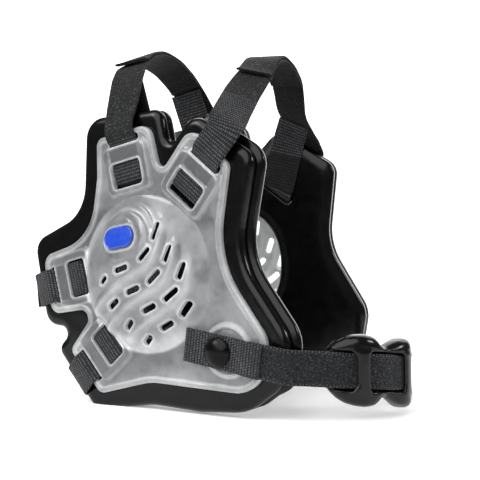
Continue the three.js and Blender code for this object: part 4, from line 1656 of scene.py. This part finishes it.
@dataclass
class StrapHalf:
    """Half of a strap: an inner leg, a slit, round the bar, out of the shell and over to the other half."""

    key: str
    side: Side
    lap: Lap
    leg_in: float = -13.7
    leg_behind: float = 1.2
    leg_out: float = 4.8
    leg_reach: float = 27.0
    leg_short: float = 6.0
    bulge: float = 1.5
    lift: float = 1.4
    lift_reach: float = 8.0
    slit_back: float = SLIT_BACK
    slit_front: float = SLIT_FRONT
    bar_end: float = BAR_END
    slot_end: float = SLOT_END
    lap_gap: float = 0.95
    lap_start: float = 0.25
    join_gap: float = 1.85
    patch_dark: float = 1.7
    course: Course | None = None
    seam: float = 0.0

    def place(self, q: float, w: float) -> Array:
        """Point along the strap from its window's middle, at a depth, as on the right side."""
        anchor = ANCHORS[self.key]
        return GUARD.place(np.array([[anchor.u, anchor.v, w]]))[0] + GUARD.bearing(anchor.out) * q

    def leg(self, reach: float) -> Array:
        """Point along the inner leg from its slit, as on the right side."""
        return self.place(self.slit_back, self.leg_in) + GUARD.bearing(ANCHORS[self.key].leg) * reach

    def face(self, before: Array, after: Array, b: Array) -> Array:
        """Direction away from the head on a stretch between two places, for a direction across the strap."""
        n = unit(np.cross(after - before, b))
        return n if n @ np.array(ARCHES[self.key].away) > 0 else -n

    def run(self, side: Side) -> list[tuple[Array, float, Array]]:
        """Corners of one side's free run.

        Args:
            side: the side, whose rows are given as on the right.

        Returns:
            Place, bend radius and across direction of each.
        """
        made = []
        for x, y, z, r, turn in ARCHES[self.key].rows[side]:
            b = np.array([math.cos(math.radians(turn)), 0.0, math.sin(math.radians(turn))])
            made.append((np.array([x + GUARD.x, y, z], float), r, b))
        return made

    def corners(self) -> list[tuple[Array, float, Array]]:
        """Corners of the strap's path, as on the right side.

        Returns:
            Place, bend radius and across direction of each.
        """
        anchor, arch = ANCHORS[self.key], ARCHES[self.key]
        leave = arch.exits[self.side]
        across, level = GUARD.bearing(anchor.out - 90.0), GUARD.bearing(anchor.leg - 90.0)
        own = self.run(self.side)
        beyond = self.run(Side.LEFT if self.side is Side.RIGHT else Side.RIGHT)
        rest = own + [(p * MIRROR, r, b) for p, r, b in beyond[-2::-1]]
        free = []
        for i, (p, r, b) in enumerate(rest):
            before = rest[i - 1][0] if i else self.place(leave, arch.exit_high)
            after = rest[i + 1][0] if i + 1 < len(rest) else p
            share = 1.0 if i else self.lap_start
            free.append((p + self.face(before, after, b) * self.lap.value * self.lap_gap * share, r, b))
        sewn = arch.joins[self.side]
        below, above, turn = free[sewn.row - 1][0], free[sewn.row][0], own[sewn.row][2]
        join = above + (below - above) * sewn.share - self.face(below, above, turn) * self.join_gap
        top = self.leg(max(leave - self.leg_short, self.leg_reach)) - level * sewn.leg_aside
        return [
            (join - turn * sewn.aside, 0.0, turn),
            (top, 12.0, level),
            (self.leg(self.leg_short), 20.0, across),
            (self.place(self.slit_back, self.leg_in), 1.8, across),
            (self.place(self.slit_front, self.leg_behind), 1.8, across),
            (self.place(1.5, self.leg_behind + self.bulge), 8.0, across),
            (self.place(self.bar_end + 0.6, self.leg_behind), 3.0, across),
            (self.place(self.slot_end - 0.2, self.leg_out), 3.0, across),
            (self.place(leave, arch.exit_high), 9.0, across),
            *free,
        ]

    def build(self, finish: Material) -> Piece:
        """Build this half, and keep its course and the place of its seam.

        Args:
            finish: its material.

        Returns:
            The object.
        """
        corners = self.corners()
        arch = ARCHES[self.key]
        away = np.array(arch.away)
        course = Course.through(corners).until_past_middle(arch.laps[self.side])
        if self.lap is Lap.OVER:
            end = np.clip((course.s - course.s[-1] + self.lift_reach) / self.lift_reach, 0.0, 1.0)[:, None]
            sign = np.where(course.n @ away > 0.0, 1.0, -1.0)[:, None]
            course.p = course.p + course.n * sign * self.lift * end**2
        gaps = np.linalg.norm(course.p - corners[0][0], axis=1)
        late = course.s > 0.4 * course.s[-1]
        self.seam = float(course.s[late][np.argmin(gaps[late])])
        self.course = course if self.side is Side.RIGHT else course.mirrored()
        start = self.seam + arch.pile_from
        outer = 1.0 if course.n[-1] @ away > 0.0 else -1.0
        slit_place = self.place(self.slit_back, self.leg_in)
        slit = float(course.s[np.argmin(np.linalg.norm(course.p - slit_place, axis=1))])

        def pile(s: Array) -> Array:
            """Share of loop pile along the strap."""
            return ease(s, start - 0.6, start + 0.6)

        def shade_and_dark_foot(s: Array, high: Array) -> Array:
            """Share of darkening: painted shade on the face turned to the head, and the darker foot of the
            inner leg.
            """
            foot = ease(s, slit - arch.patch, slit - arch.patch + 0.6) * (s < slit) * float(arch.patch > 0.0)
            return np.maximum(ease(-outer * high, 0.1, 0.5), self.patch_dark * foot)

        name = f"{self.key}_strap_{self.side.value}"
        piece = Ribbon(arch.wide).build(name, self.course, finish, pile, shade_and_dark_foot)
        return settle(piece, "webbing", f"{self.key}_{self.side.value}")


# Chin strap and cup


@dataclass
class ChinGear:
    """Chin strap with its two snapped tabs and the cup that slides on it."""

    snap_u: float = SNAP_U
    snap_v: float = SNAP_V
    slopes: dict[Side, float] = field(default_factory=lambda: {Side.RIGHT: -8.0, Side.LEFT: -30.0})
    tab_start: float = -20.5
    tab_rise: float = 10.0
    tab_level: float = 5.0
    tab_over: float = 6.7
    tab_end: float = 25.5
    strap_start: float = 17.0
    strap_edge: float = 29.5
    strap_clear: float = 40.5
    strap_level: float = 4.8
    path: Rows = field(
        default_factory=lambda: [
            (91.5, -73, 28, 10), (108, -61, 26, 40), (124, -49.5, 24.5, 22), (129.6, -36, 22.3, 22),
            (130, -20, 20, 30), (124, 5, 15, 50), (112, 32, 11.5, 60), (102, 57, 10.5, 40),
            (95, 76, 10.6, 18),
        ]
    )
    tab_ribbon: Ribbon = field(default_factory=Ribbon)
    strap_ribbon: Ribbon = field(default_factory=lambda: Ribbon(17.5, 1.6))

    def tab_place(self, side: Side, reach: float, w: float) -> Array:
        """Point along a tab from its snap, at a depth.

        Args:
            side: the wearer's side.
            reach: distance from the snap.
            w: depth.

        Returns:
            The point.
        """
        turn = math.radians(self.slopes[side])
        local = np.array([[self.snap_u + reach * math.cos(turn), self.snap_v + reach * math.sin(turn), w]])
        point = GUARD.place(local)[0]
        return point if side is Side.RIGHT else point * MIRROR

    def tab_across(self, side: Side) -> Array:
        """Direction across a tab."""
        across = GUARD.bearing(self.slopes[side] + 90.0)
        return across if side is Side.RIGHT else across * MIRROR

    def tab_course(self, side: Side) -> Course:
        """Course of a tab.

        Args:
            side: the wearer's side.

        Returns:
            The course.
        """
        low = [(reach, self.tab_level) for reach in (self.tab_start, self.tab_rise)]
        over = [(reach, self.tab_over) for reach in (self.strap_start, self.tab_end)]
        b = self.tab_across(side)
        return Course.through([(self.tab_place(side, reach, w), 20.0, b) for reach, w in low + over])

    def strap_course(self) -> Course:
        """Course of the whole chin strap, from the near tab to the far one.

        Returns:
            The course.
        """
        rows = [
            (self.strap_start, self.strap_level),
            (self.strap_edge, self.strap_level),
            (self.strap_clear, self.strap_level - 1.0),
        ]
        near, far = (
            [(self.tab_place(side, reach, w), 12.0, self.tab_across(side)) for reach, w in rows]
            for side in (Side.RIGHT, Side.LEFT)
        )
        middle = [(np.array([x + GUARD.x, y, z], float), r, UP) for x, y, z, r in self.path]
        return Course.through(near + middle + far[::-1])


@dataclass
class ChinCup:
    """Dipped foam cup: two lobes with a waist between them, and two bridges over the strap.

    A lobe's rows are a distance along the strap from the cup's middle and half its width there.
    """

    shift: float = 3.0
    rear: float = -9.0
    lane: float = -1.3
    lane_edges: tuple[float, float] = (8.9, 10.2)
    shoulder: float = 1.5
    rise: float = 2.3
    rise_reach: float = 13.0
    skirt: float = 1.2
    bridges: tuple[float, float] = (-13.4, 14.8)
    bridge_half: float = 3.4
    bridge_mid: float = 2.75
    bridge_thick: float = 1.35
    bridge_reach: float = 16.0
    bridge_drop: float = 3.6
    bridge_sides: int = 24
    bridge_rings: int = 49
    grid: float = 1.0
    voxel: float = 0.6
    first_lobe: Rows = field(
        default_factory=lambda: [
            (0, 12.2), (1.5, 12.9), (4, 15.4), (7, 17.2), (12, 18), (17, 17.6),
            (22, 16.4), (26, 14.2), (29, 11.4), (31, 8.4), (32.2, 4.5),
        ]
    )
    second_lobe: Rows = field(
        default_factory=lambda: [
            (1.5, 12.4), (4, 13.6), (8, 15.4), (12, 16.7), (16, 17.7), (19.5, 18),
            (23, 17.2), (26, 14.6), (28, 11.6), (29.4, 8), (30, 4.5),
        ]
    )

    def outline(self) -> Array:
        """Points of the lobes' outline in order, along and across the strap."""
        top = np.array(self.second_lobe[::-1] + [(-along, half) for along, half in self.first_lobe], float)
        return np.concatenate([top, top[::-1] * np.array([1.0, -1.0])])

    def body(self) -> tuple[Array, list]:
        """The padded body.

        Returns:
            Points along, across and out of the strap, and faces.
        """
        outline = self.outline()

        def depth(at: Array) -> Array:
            """Distance of points inside the flat of the body, drawn in from its edge."""
            return outline_depth(at, outline) - self.skirt

        points, faces, borders = clipped_grid(depth, outline.min(0), outline.max(0), self.grid)
        inset = outline_depth(points, outline)
        near = np.min([np.abs(points[:, 0] - at) for at in self.bridges], axis=0)
        shoulder = self.shoulder + self.rise * fade(near, 0.0, self.rise_reach)
        swell = ease(np.abs(points[:, 1]), *self.lane_edges) * (shoulder - self.lane)
        front = self.lane + swell - round_off(inset, 5.0, 4.4)
        back = self.rear + round_off(inset, 5.0, 3.2)
        out = downhill(depth, points, 0.2)
        layers = [np.column_stack([points, front]), np.column_stack([points, back])]
        for level, share in ((-0.6, 0.8), (0.0, 1.0), (0.6, 0.8)):
            w = (front + back) / 2 + level * (front - back) / 2
            layers.append(np.column_stack([points + out * self.skirt * share, w]))
        made = plate_faces(len(points), faces, borders, 3)
        kept, made, _ = without_loose(np.concatenate(layers), made, {})
        return kept, made

    def bridge(self, at: float) -> tuple[Array, list]:
        """One bridge over the strap, which flares and drops to the body at both ends.

        Args:
            at: its place along the strap from the cup's middle.

        Returns:
            Points along, across and out of the strap, and faces.
        """
        sides = self.bridge_sides
        turn = np.linspace(0.0, 2.0 * math.pi, sides + 1)[:-1]
        c, s = np.cos(turn), np.sin(turn)
        rings = []
        for z in np.linspace(-self.bridge_reach, self.bridge_reach, self.bridge_rings):
            drop = float(ease(np.array(abs(z)), 9.6, 15.0))
            flare = float(ease(np.array(abs(z)), 5.5, 14.0))
            wide = self.bridge_half * np.where(c * at > 0, 1.0 + 1.5 * flare, 1.0 + 0.5 * flare)
            along = wide * np.sign(c) * np.abs(c) ** 0.7
            out = (self.bridge_thick + 0.7 * drop) * np.sign(s) * np.abs(s) ** 0.85
            level = self.bridge_mid - self.bridge_drop * drop + out
            rings.append(np.column_stack([at + along, np.full(sides, z), level]))
        points = np.concatenate(rings)
        faces = tube_faces(len(rings), sides)
        faces.append(tuple(range(sides)))
        faces.append(tuple(range(len(points) - sides, len(points)))[::-1])
        return points, faces

    def build(self, chin: ChinGear, course: Course, finish: Material) -> Piece:
        """Build the cup on the strap's course.

        Args:
            chin: the chin strap.
            course: the strap's course.
            finish: the cup's material.

        Returns:
            The object.
        """
        x, y, z, _ = chin.path[2]
        waist = np.array([x + GUARD.x, y, z])
        centre = float(course.s[np.argmin(np.linalg.norm(course.p - waist, axis=1))]) + self.shift
        points, faces, base = [], [], 0
        for local, made in (self.body(), *(self.bridge(at) for at in self.bridges)):
            s = centre + local[:, 0]
            n = unit(np.cross(between(s, course.s, course.t), UP))
            points.append(between(s, course.s, course.p) + local[:, 2:] * n + local[:, 1:2] * UP)
            faces.extend(tuple(base + i for i in face) for face in made)
            base += len(local)
        rough = mesh_piece("chin_cup_rough", np.concatenate(points), faces, finish)
        fuse = rough.modifiers.new("fuse", "REMESH")
        fuse.mode = "VOXEL"
        fuse.voxel_size = self.voxel * MM
        soften = rough.modifiers.new("soften", "SMOOTH")
        soften.factor = 0.5
        soften.iterations = 8
        piece = baked(rough, "chin_cup_dipped")
        piece.data.polygons.foreach_set("use_smooth", np.ones(len(piece.data.polygons), bool))
        settle(piece, "cup_vinyl", "chin_cup")
        return piece


def baked(source: Piece, name: str) -> Piece:
    """Plain mesh of an object with its modifiers, in its place.

    Args:
        source: the object, which is removed.
        name: name of the new one.

    Returns:
        The new object.
    """
    bpy.context.view_layer.update()
    graph = bpy.context.evaluated_depsgraph_get()
    mesh = bpy.data.meshes.new_from_object(source.evaluated_get(graph))
    finish = source.data.materials[0] if source.data.materials else None
    bpy.data.objects.remove(source)
    mesh.name = name
    if finish is not None and not mesh.materials:
        mesh.materials.append(finish)
    piece = bpy.data.objects.new(name, mesh)
    bpy.context.scene.collection.objects.link(piece)
    return piece


# Small hard pieces


@dataclass
class SnapCap:
    """Domed snap cap with a rolled edge, and the stud behind the tab."""

    u: float = SNAP_U
    v: float = SNAP_V
    sides: int = 64
    profile: Rows = field(
        default_factory=lambda: [
            (0.0, 0.3), (1.7, 0.3), (1.7, 2.3), (5.3, 2.3), (5.5, 2.6), (5.5, 3.8), (5.3, 4.0), (1.7, 4.0),
            (1.7, 5.95), (6.9, 5.95), (7.35, 6.05), (7.6, 6.4), (7.55, 6.85), (7.25, 7.25), (6.95, 7.45),
            (6.6, 7.75), (5.9, 8.25), (4.9, 8.75), (3.6, 9.15), (2.0, 9.42), (0.8, 9.5), (0.0, 9.52),
        ]
    )

    def build(self, side: Side, finish: Material) -> Piece:
        """Build the snap of one side, turned from its profile.

        Args:
            side: the wearer's side.
            finish: its material.

        Returns:
            The object.
        """
        turn = np.linspace(0.0, 2.0 * math.pi, self.sides + 1)[:-1]
        points = [(self.u, self.v, self.profile[0][1])]
        for r, w in self.profile[1:-1]:
            points.extend(zip(self.u + r * np.cos(turn), self.v + r * np.sin(turn), np.full(self.sides, w)))
        points.append((self.u, self.v, self.profile[-1][1]))
        faces: list = []
        rings = len(self.profile) - 2
        for i in range(self.sides):
            j = (i + 1) % self.sides
            faces.append((0, 1 + j, 1 + i))
            for k in range(rings - 1):
                a, b = 1 + k * self.sides + i, 1 + k * self.sides + j
                faces.append((a, b, b + self.sides, a + self.sides))
            last = 1 + (rings - 1) * self.sides
            faces.append((last + i, last + j, len(points) - 1))
        piece = GUARD.piece(f"snap_{side.value}", side, np.array(points), faces, finish, 50.0)
        return settle(piece, "snap_plastic", f"{side.value}_snap")


@dataclass
class BlankBadge:
    """Blank oval inlay on the dome's boss, with a crowned face.

    A level is how far in from the edge it lies and its height over the inlay's foot.
    """

    shell: EarShell
    long: float = 20.0
    high: float = 11.0
    lift: float = 1.5
    levels: Rows = field(
        default_factory=lambda: [
            (0.0, 0.0), (0.0, 0.9), (0.25, 1.25), (0.7, 1.42),
            (1.0, 1.3), (1.3, 1.32), (3.0, 1.5), (4.6, 1.6),
        ]
    )

    def tilt(self) -> Array:
        """Turn of the badge in its plane, then its lean with the dome.

        Returns:
            The turning matrix.
        """
        lean = self.shell.badge_lean()
        axis = Vector((-math.sin(lean), math.cos(lean), 0.0))
        leaned = Matrix.Rotation(math.radians(self.shell.badge_tilt), 3, axis)
        return np.array(leaned @ Matrix.Rotation(math.radians(self.shell.badge_turn), 3, "Z"))

    def build(self, side: Side, finish: Material) -> Piece:
        """Build the badge of one side.

        Args:
            side: the wearer's side.
            finish: its material.

        Returns:
            The object.
        """
        shell = self.shell
        half, reach = self.high / 2, (self.long - self.high) / 2
        turn = np.linspace(-math.pi / 2, math.pi / 2, 25)
        right = np.column_stack([reach + half * np.cos(turn), half * np.sin(turn)])
        ring = np.concatenate([right, -right])
        size = len(ring)
        out = unit(ring - np.column_stack([np.clip(ring[:, 0], -reach, reach), np.zeros(size)]))
        rings = [
            np.column_stack([ring - out * inset, np.full(size, self.lift + w)]) for inset, w in self.levels
        ]
        last = len(rings) - 1
        faces: list = [tuple(range(size))[::-1], tuple(range(last * size, (last + 1) * size))]
        faces.extend((a, b, d, c) for a, c, d, b in tube_faces(len(rings), size))
        placed = np.concatenate(rings) @ self.tilt().T
        placed = placed + np.array([shell.badge_u, shell.badge_v, shell.badge_level()])
        piece = GUARD.piece(f"badge_{side.value}", side, placed, faces, finish, 40.0)
        return settle(piece, "badge_plastic", f"{side.value}_badge")


# Sewing


@dataclass
class StitchRows:
    """Rows of stitches along paths, laid by a node tree."""

    name: str
    spacing: float = 2.1
    long: float = 1.5
    thick: float = 0.42
    paths: list[tuple[Array, Array]] = field(default_factory=list)

    def add(self, path: Array, lay: Array | None = None) -> None:
        """Add a row along a path, whose stitches lie in given directions or else follow the row."""
        self.paths.append((path, unit(np.gradient(path, axis=0)) if lay is None else lay))

    def tree(self) -> Tree:
        """Node tree that sets a stitch at each step of a path.

        Returns:
            The tree, with named inputs for the sizes of a stitch.
        """
        tree = bpy.data.node_groups.new(f"{self.name}_tree", "GeometryNodeTree")
        kinds = {"Geometry": "Geometry", "Spacing": "Float", "Length": "Float", "Thickness": "Float"}
        for label, kind in {**kinds, "Finish": "Material"}.items():
            tree.interface.new_socket(label, in_out="INPUT", socket_type=f"NodeSocket{kind}")
        tree.interface.new_socket("Geometry", in_out="OUTPUT", socket_type="NodeSocketGeometry")
        given = add_node(tree, Kind.GIVEN).node.outputs
        curve = add_node(tree, Kind.CURVE, {"Mesh": given["Geometry"]})
        even = add_node(tree, Kind.EVEN, {"Curve": curve, "Length": given["Spacing"]}, mode="LENGTH")
        lay = add_node(tree, Kind.NAMED, {"Name": "lay"}, data_type="FLOAT_VECTOR")
        turn = add_node(tree, Kind.ALIGN, {"Vector": lay}, axis="Z")
        bead = add_node(tree, Kind.BEAD, {"Radius": 0.5, "Subdivisions": 2})
        thick, long = given["Thickness"], given["Length"]
        size = add_node(tree, Kind.COMBINE, {0: thick, 1: thick, 2: long})
        shaped = add_node(tree, Kind.RESHAPE, {"Geometry": bead, "Scale": size})
        uneven = {"Min": (0.85, 0.85, 0.85), "Max": (1.1, 1.1, 1.1), "Seed": 7}
        jitter = add_node(tree, Kind.RANDOM, uneven, data_type="FLOAT_VECTOR")
        stitches = {"Points": even, "Instance": shaped, "Rotation": turn, "Scale": jitter}
        laid = add_node(tree, Kind.REPEAT, stitches)
        real = add_node(tree, Kind.REALIZE, {"Geometry": laid})
        dressed = add_node(tree, Kind.FINISH, {"Geometry": real, "Material": given["Finish"]})
        add_node(tree, Kind.RESULT, {"Geometry": dressed})
        return tree

    def build(self, slot: str, finish: Material) -> Piece:
        """Lay the stitches of all rows as one piece.

        Args:
            slot: handed to settle, which does not use it.
            finish: its material.

        Returns:
            The object.
        """
        points = np.concatenate([path for path, _ in self.paths])
        edges: list[tuple[int, int]] = []
        base = 0
        for path, _ in self.paths:
            edges.extend((base + i, base + i + 1) for i in range(len(path) - 1))
            base += len(path)
        mesh = bpy.data.meshes.new(f"{self.name}_rows")
        mesh.from_pydata((points * MM).tolist(), edges, [])
        rows = bpy.data.objects.new(f"{self.name}_rows", mesh)
        bpy.context.scene.collection.objects.link(rows)
        mark(rows, "lay", np.concatenate([lay for _, lay in self.paths]))
        tree = self.tree()
        sewn = rows.modifiers.new("sewn", "NODES")
        sewn.node_group = tree
        sizes = {"Spacing": self.spacing, "Length": self.long, "Thickness": self.thick}
        given = {"Finish": finish, **{label: size * MM for label, size in sizes.items()}}
        for item in tree.interface.items_tree:
            if item.in_out == "INPUT" and item.name in given:
                sewn[item.identifier] = given[item.name]
        piece = baked(rows, self.name)
        piece.data.polygons.foreach_set("use_smooth", np.ones(len(piece.data.polygons), bool))
        return settle(piece, slot)


def across_row(course: Course, s: float, half: float, lift: float) -> Array:
    """Points of a row across a strap at a distance along it, lifted to one of its faces."""
    p, _, b, n = course.at(s)
    return np.array([p + b * half * f + n * lift for f in np.linspace(-1.0, 1.0, 15)])


def along_row(course: Course, start: float, end: float, off: float, lift: float) -> tuple[Array, Array]:
    """Points of a row along a strap, off its middle line and on a face, and the directions across it."""
    rows = [course.at(s) for s in np.arange(start, end, 1.0)]
    return np.array([p + b * off + n * lift for p, _, b, n in rows]), np.array([b for _, _, b, _ in rows])


# Studio


@dataclass
class Studio:
    """White sweep, soft lights and the camera at the photographed angle."""

    eye: tuple[float, float, float] = (255.607, -541.059, 99.94)
    right: tuple[float, float, float] = (0.92152569, 0.38806117, -0.01410424)
    up: tuple[float, float, float] = (0.00557357, 0.02309962, 0.99971763)
    focal_px: float = 1028.04
    frame_px: float = 480.0
    sensor_mm: float = 36.0
    table: float = 520.0
    room: float = 0.2
    sky_power: float = 3.3
    lights: list[tuple[str, tuple[float, float, float], float, float]] = field(
        default_factory=lambda: [
            ("key", (-0.75, -0.75, 0.75), 0.4, 4.0),
            ("side", (0.85, 0.05, 0.5), 0.2, 2.8),
            ("back", (-0.1, 1.1, 0.6), 1.6, 18.0),
        ]
    )

    def backdrop(self) -> None:
        """White backdrop all round, which only the camera sees, so that black pieces mirror a dim room."""
        sides = 48
        turn = np.linspace(0.0, 2.0 * math.pi, sides + 1)[:-1]
        rows = [(10.0, -0.6), (6000.0, -0.6), (6000.0, 3000.0), (3500.0, 5500.0), (10.0, 6000.0)]
        rings = [np.column_stack([r * np.cos(turn), r * np.sin(turn), np.full(sides, z)]) for r, z in rows]
        faces = tube_faces(len(rings), sides)
        paper = StudioPaper("white_paper_backlit", 1.0).make()
        wall = mesh_piece("white_backdrop", np.concatenate(rings), faces, paper)
        wall.visible_diffuse = wall.visible_glossy = wall.visible_shadow = wall.visible_transmission = False

    def floor(self) -> None:
        """Round sheet of paper under the object, and the white room round it."""
        sides = 96
        turn = np.linspace(0.0, 2.0 * math.pi, sides + 1)[:-1]
        disc = np.column_stack([self.table * np.cos(turn), self.table * np.sin(turn), np.full(sides, -0.05)])
        floor = mesh_piece("paper_sweep", disc, [tuple(range(sides))], StudioPaper(glow=0.25).make())
        self.backdrop()
        world = bpy.data.worlds.new("soft_white_room")
        world.use_nodes = True
        ground = world.node_tree.nodes["Background"]
        ground.inputs["Color"].default_value = (1.0, 1.0, 1.0, 1.0)
        ground.inputs["Strength"].default_value = self.room
        bpy.context.scene.world = world

    def lamps(self) -> None:
        """Wide overhead light and the soft boxes, which face the middle of the object."""
        scene = bpy.context.scene
        sun = bpy.data.lights.new("overhead_bank", "SUN")
        sun.energy = self.sky_power
        sun.angle = math.radians(70.0)
        bank = bpy.data.objects.new("overhead_bank", sun)
        bank.rotation_euler = (math.radians(48.0), math.radians(-16.0), 0.0)
        scene.collection.objects.link(bank)
        for name, place, size, power in self.lights:
            lamp = bpy.data.lights.new(f"softbox_{name}", "AREA")
            lamp.shape = "SQUARE"
            lamp.size = size
            lamp.energy = power
            holder = bpy.data.objects.new(f"softbox_{name}", lamp)
            holder.location = place
            aim = Vector((0.0, 0.0, 0.09)) - Vector(place)
            holder.rotation_euler = aim.to_track_quat("-Z", "Y").to_euler()
            scene.collection.objects.link(holder)

    def build(self) -> None:
        """Build the floor, the lights and the camera."""
        self.floor()
        self.lamps()
        scene = bpy.context.scene
        lens = bpy.data.cameras.new("camera")
        lens.sensor_width = self.sensor_mm
        lens.lens = self.sensor_mm * self.focal_px / self.frame_px
        camera = bpy.data.objects.new("camera", lens)
        right, up = Vector(self.right), Vector(self.up)
        turn = Matrix((right, up, right.cross(up))).transposed().to_4x4()
        eye = (Vector(self.eye) + Vector((GUARD.x, 0.0, 0.0))) * MM
        camera.matrix_world = Matrix.Translation(eye) @ turn
        scene.collection.objects.link(camera)
        scene.camera = camera
        scene.view_settings.view_transform = "Standard"


@dataclass
class Sewing:
    """Where the seams of the straps lie: distances from a strap's end or seam, and from its middle."""

    strap_half: float = 7.6
    strap_seam: float = 2.5
    strap_end: float = 2.2
    tab_half: float = 8.0
    tab_start: float = 1.6
    tab_ends: tuple[float, float] = (1.4, 3.2)
    faces: tuple[float, float] = (0.72, -0.72)
    border_off: tuple[float, float] = (-7.7, 7.7)
    border_faces: tuple[float, float] = (0.82, -0.82)
    border_end: float = 1.0


def main() -> None:
    """Build every piece in order."""
    logging.basicConfig(level=logging.INFO, format="%(name)s %(message)s")
    shell_finish = FrostedShell().make()
    pad_finish = DippedVinyl().make()
    web_finish = WovenWebbing().make()
    pile_finish = LoopPile().make()
    cup_finish = DippedVinyl("vinyl_dipped_cup", "#040405", "#090a0a", 0.16, 0.26, 0.1).make()
    snap_finish = MouldedGloss("acetal_moulded_black", "#030304", "#070708", 0.16, 0.14).make()
    badge_finish = MouldedGloss("resin_domed_blue", "#1c3fae", "#2a4fbe", 0.1).make()
    thread_finish = SewingThread().make()

    shell, snap, sewing = EarShell(), SnapCap(), Sewing()
    left_front = {"toe": 83.6, "toe_high": -36.0, "waist": 59.8, "waist_high": 5.0, "brow": 65.0}
    pads = {Side.RIGHT: EarPad(), Side.LEFT: EarPad(flange=0.0, edge_rings=RAKED_EDGE, **left_front)}
    for side in Side:
        shell.build(side, shell_finish)
        pads[side].build(side, pad_finish)
        BlankBadge(shell).build(side, badge_finish)
        snap.build(side, snap_finish)

    seams = StitchRows("strap_seams")
    for key in ANCHORS:
        for side in Side:
            half = StrapHalf(key, side, Lap.UNDER if side is Side.RIGHT else Lap.OVER)
            half.build(web_finish)
            course = half.course
            for lift in sewing.faces:
                for s in (half.seam - sewing.strap_seam, course.s[-1] - sewing.strap_end):
                    seams.add(across_row(course, s, sewing.strap_half, lift))

    chin = ChinGear()
    for side in Side:
        course = chin.tab_course(side)
        tab = chin.tab_ribbon.build(f"chin_tab_strap_{side.value}", course, web_finish)
        settle(tab, "webbing", f"chin_tab_{side.value}")
        for s in (sewing.tab_start, *(course.s[-1] - end for end in sewing.tab_ends)):
            for lift in sewing.faces:
                seams.add(across_row(course, s, sewing.tab_half, lift))
    seams.build("webbing", thread_finish)

    course = chin.strap_course()
    strap = chin.strap_ribbon.build("chin_loop_strap", course, pile_finish)
    settle(strap, "loop_pile", "chin_strap")
    border = StitchRows("chin_strap_border", 1.9, 1.9, 0.4)
    for off in sewing.border_off:
        for lift in sewing.border_faces:
            end = course.s[-1] - sewing.border_end
            border.add(*along_row(course, sewing.border_end, end, off, lift))
    border.build("loop_pile", thread_finish)
    ChinCup().build(chin, course, cup_finish)

    Studio().build()


if __name__ == "__main__":
    main()
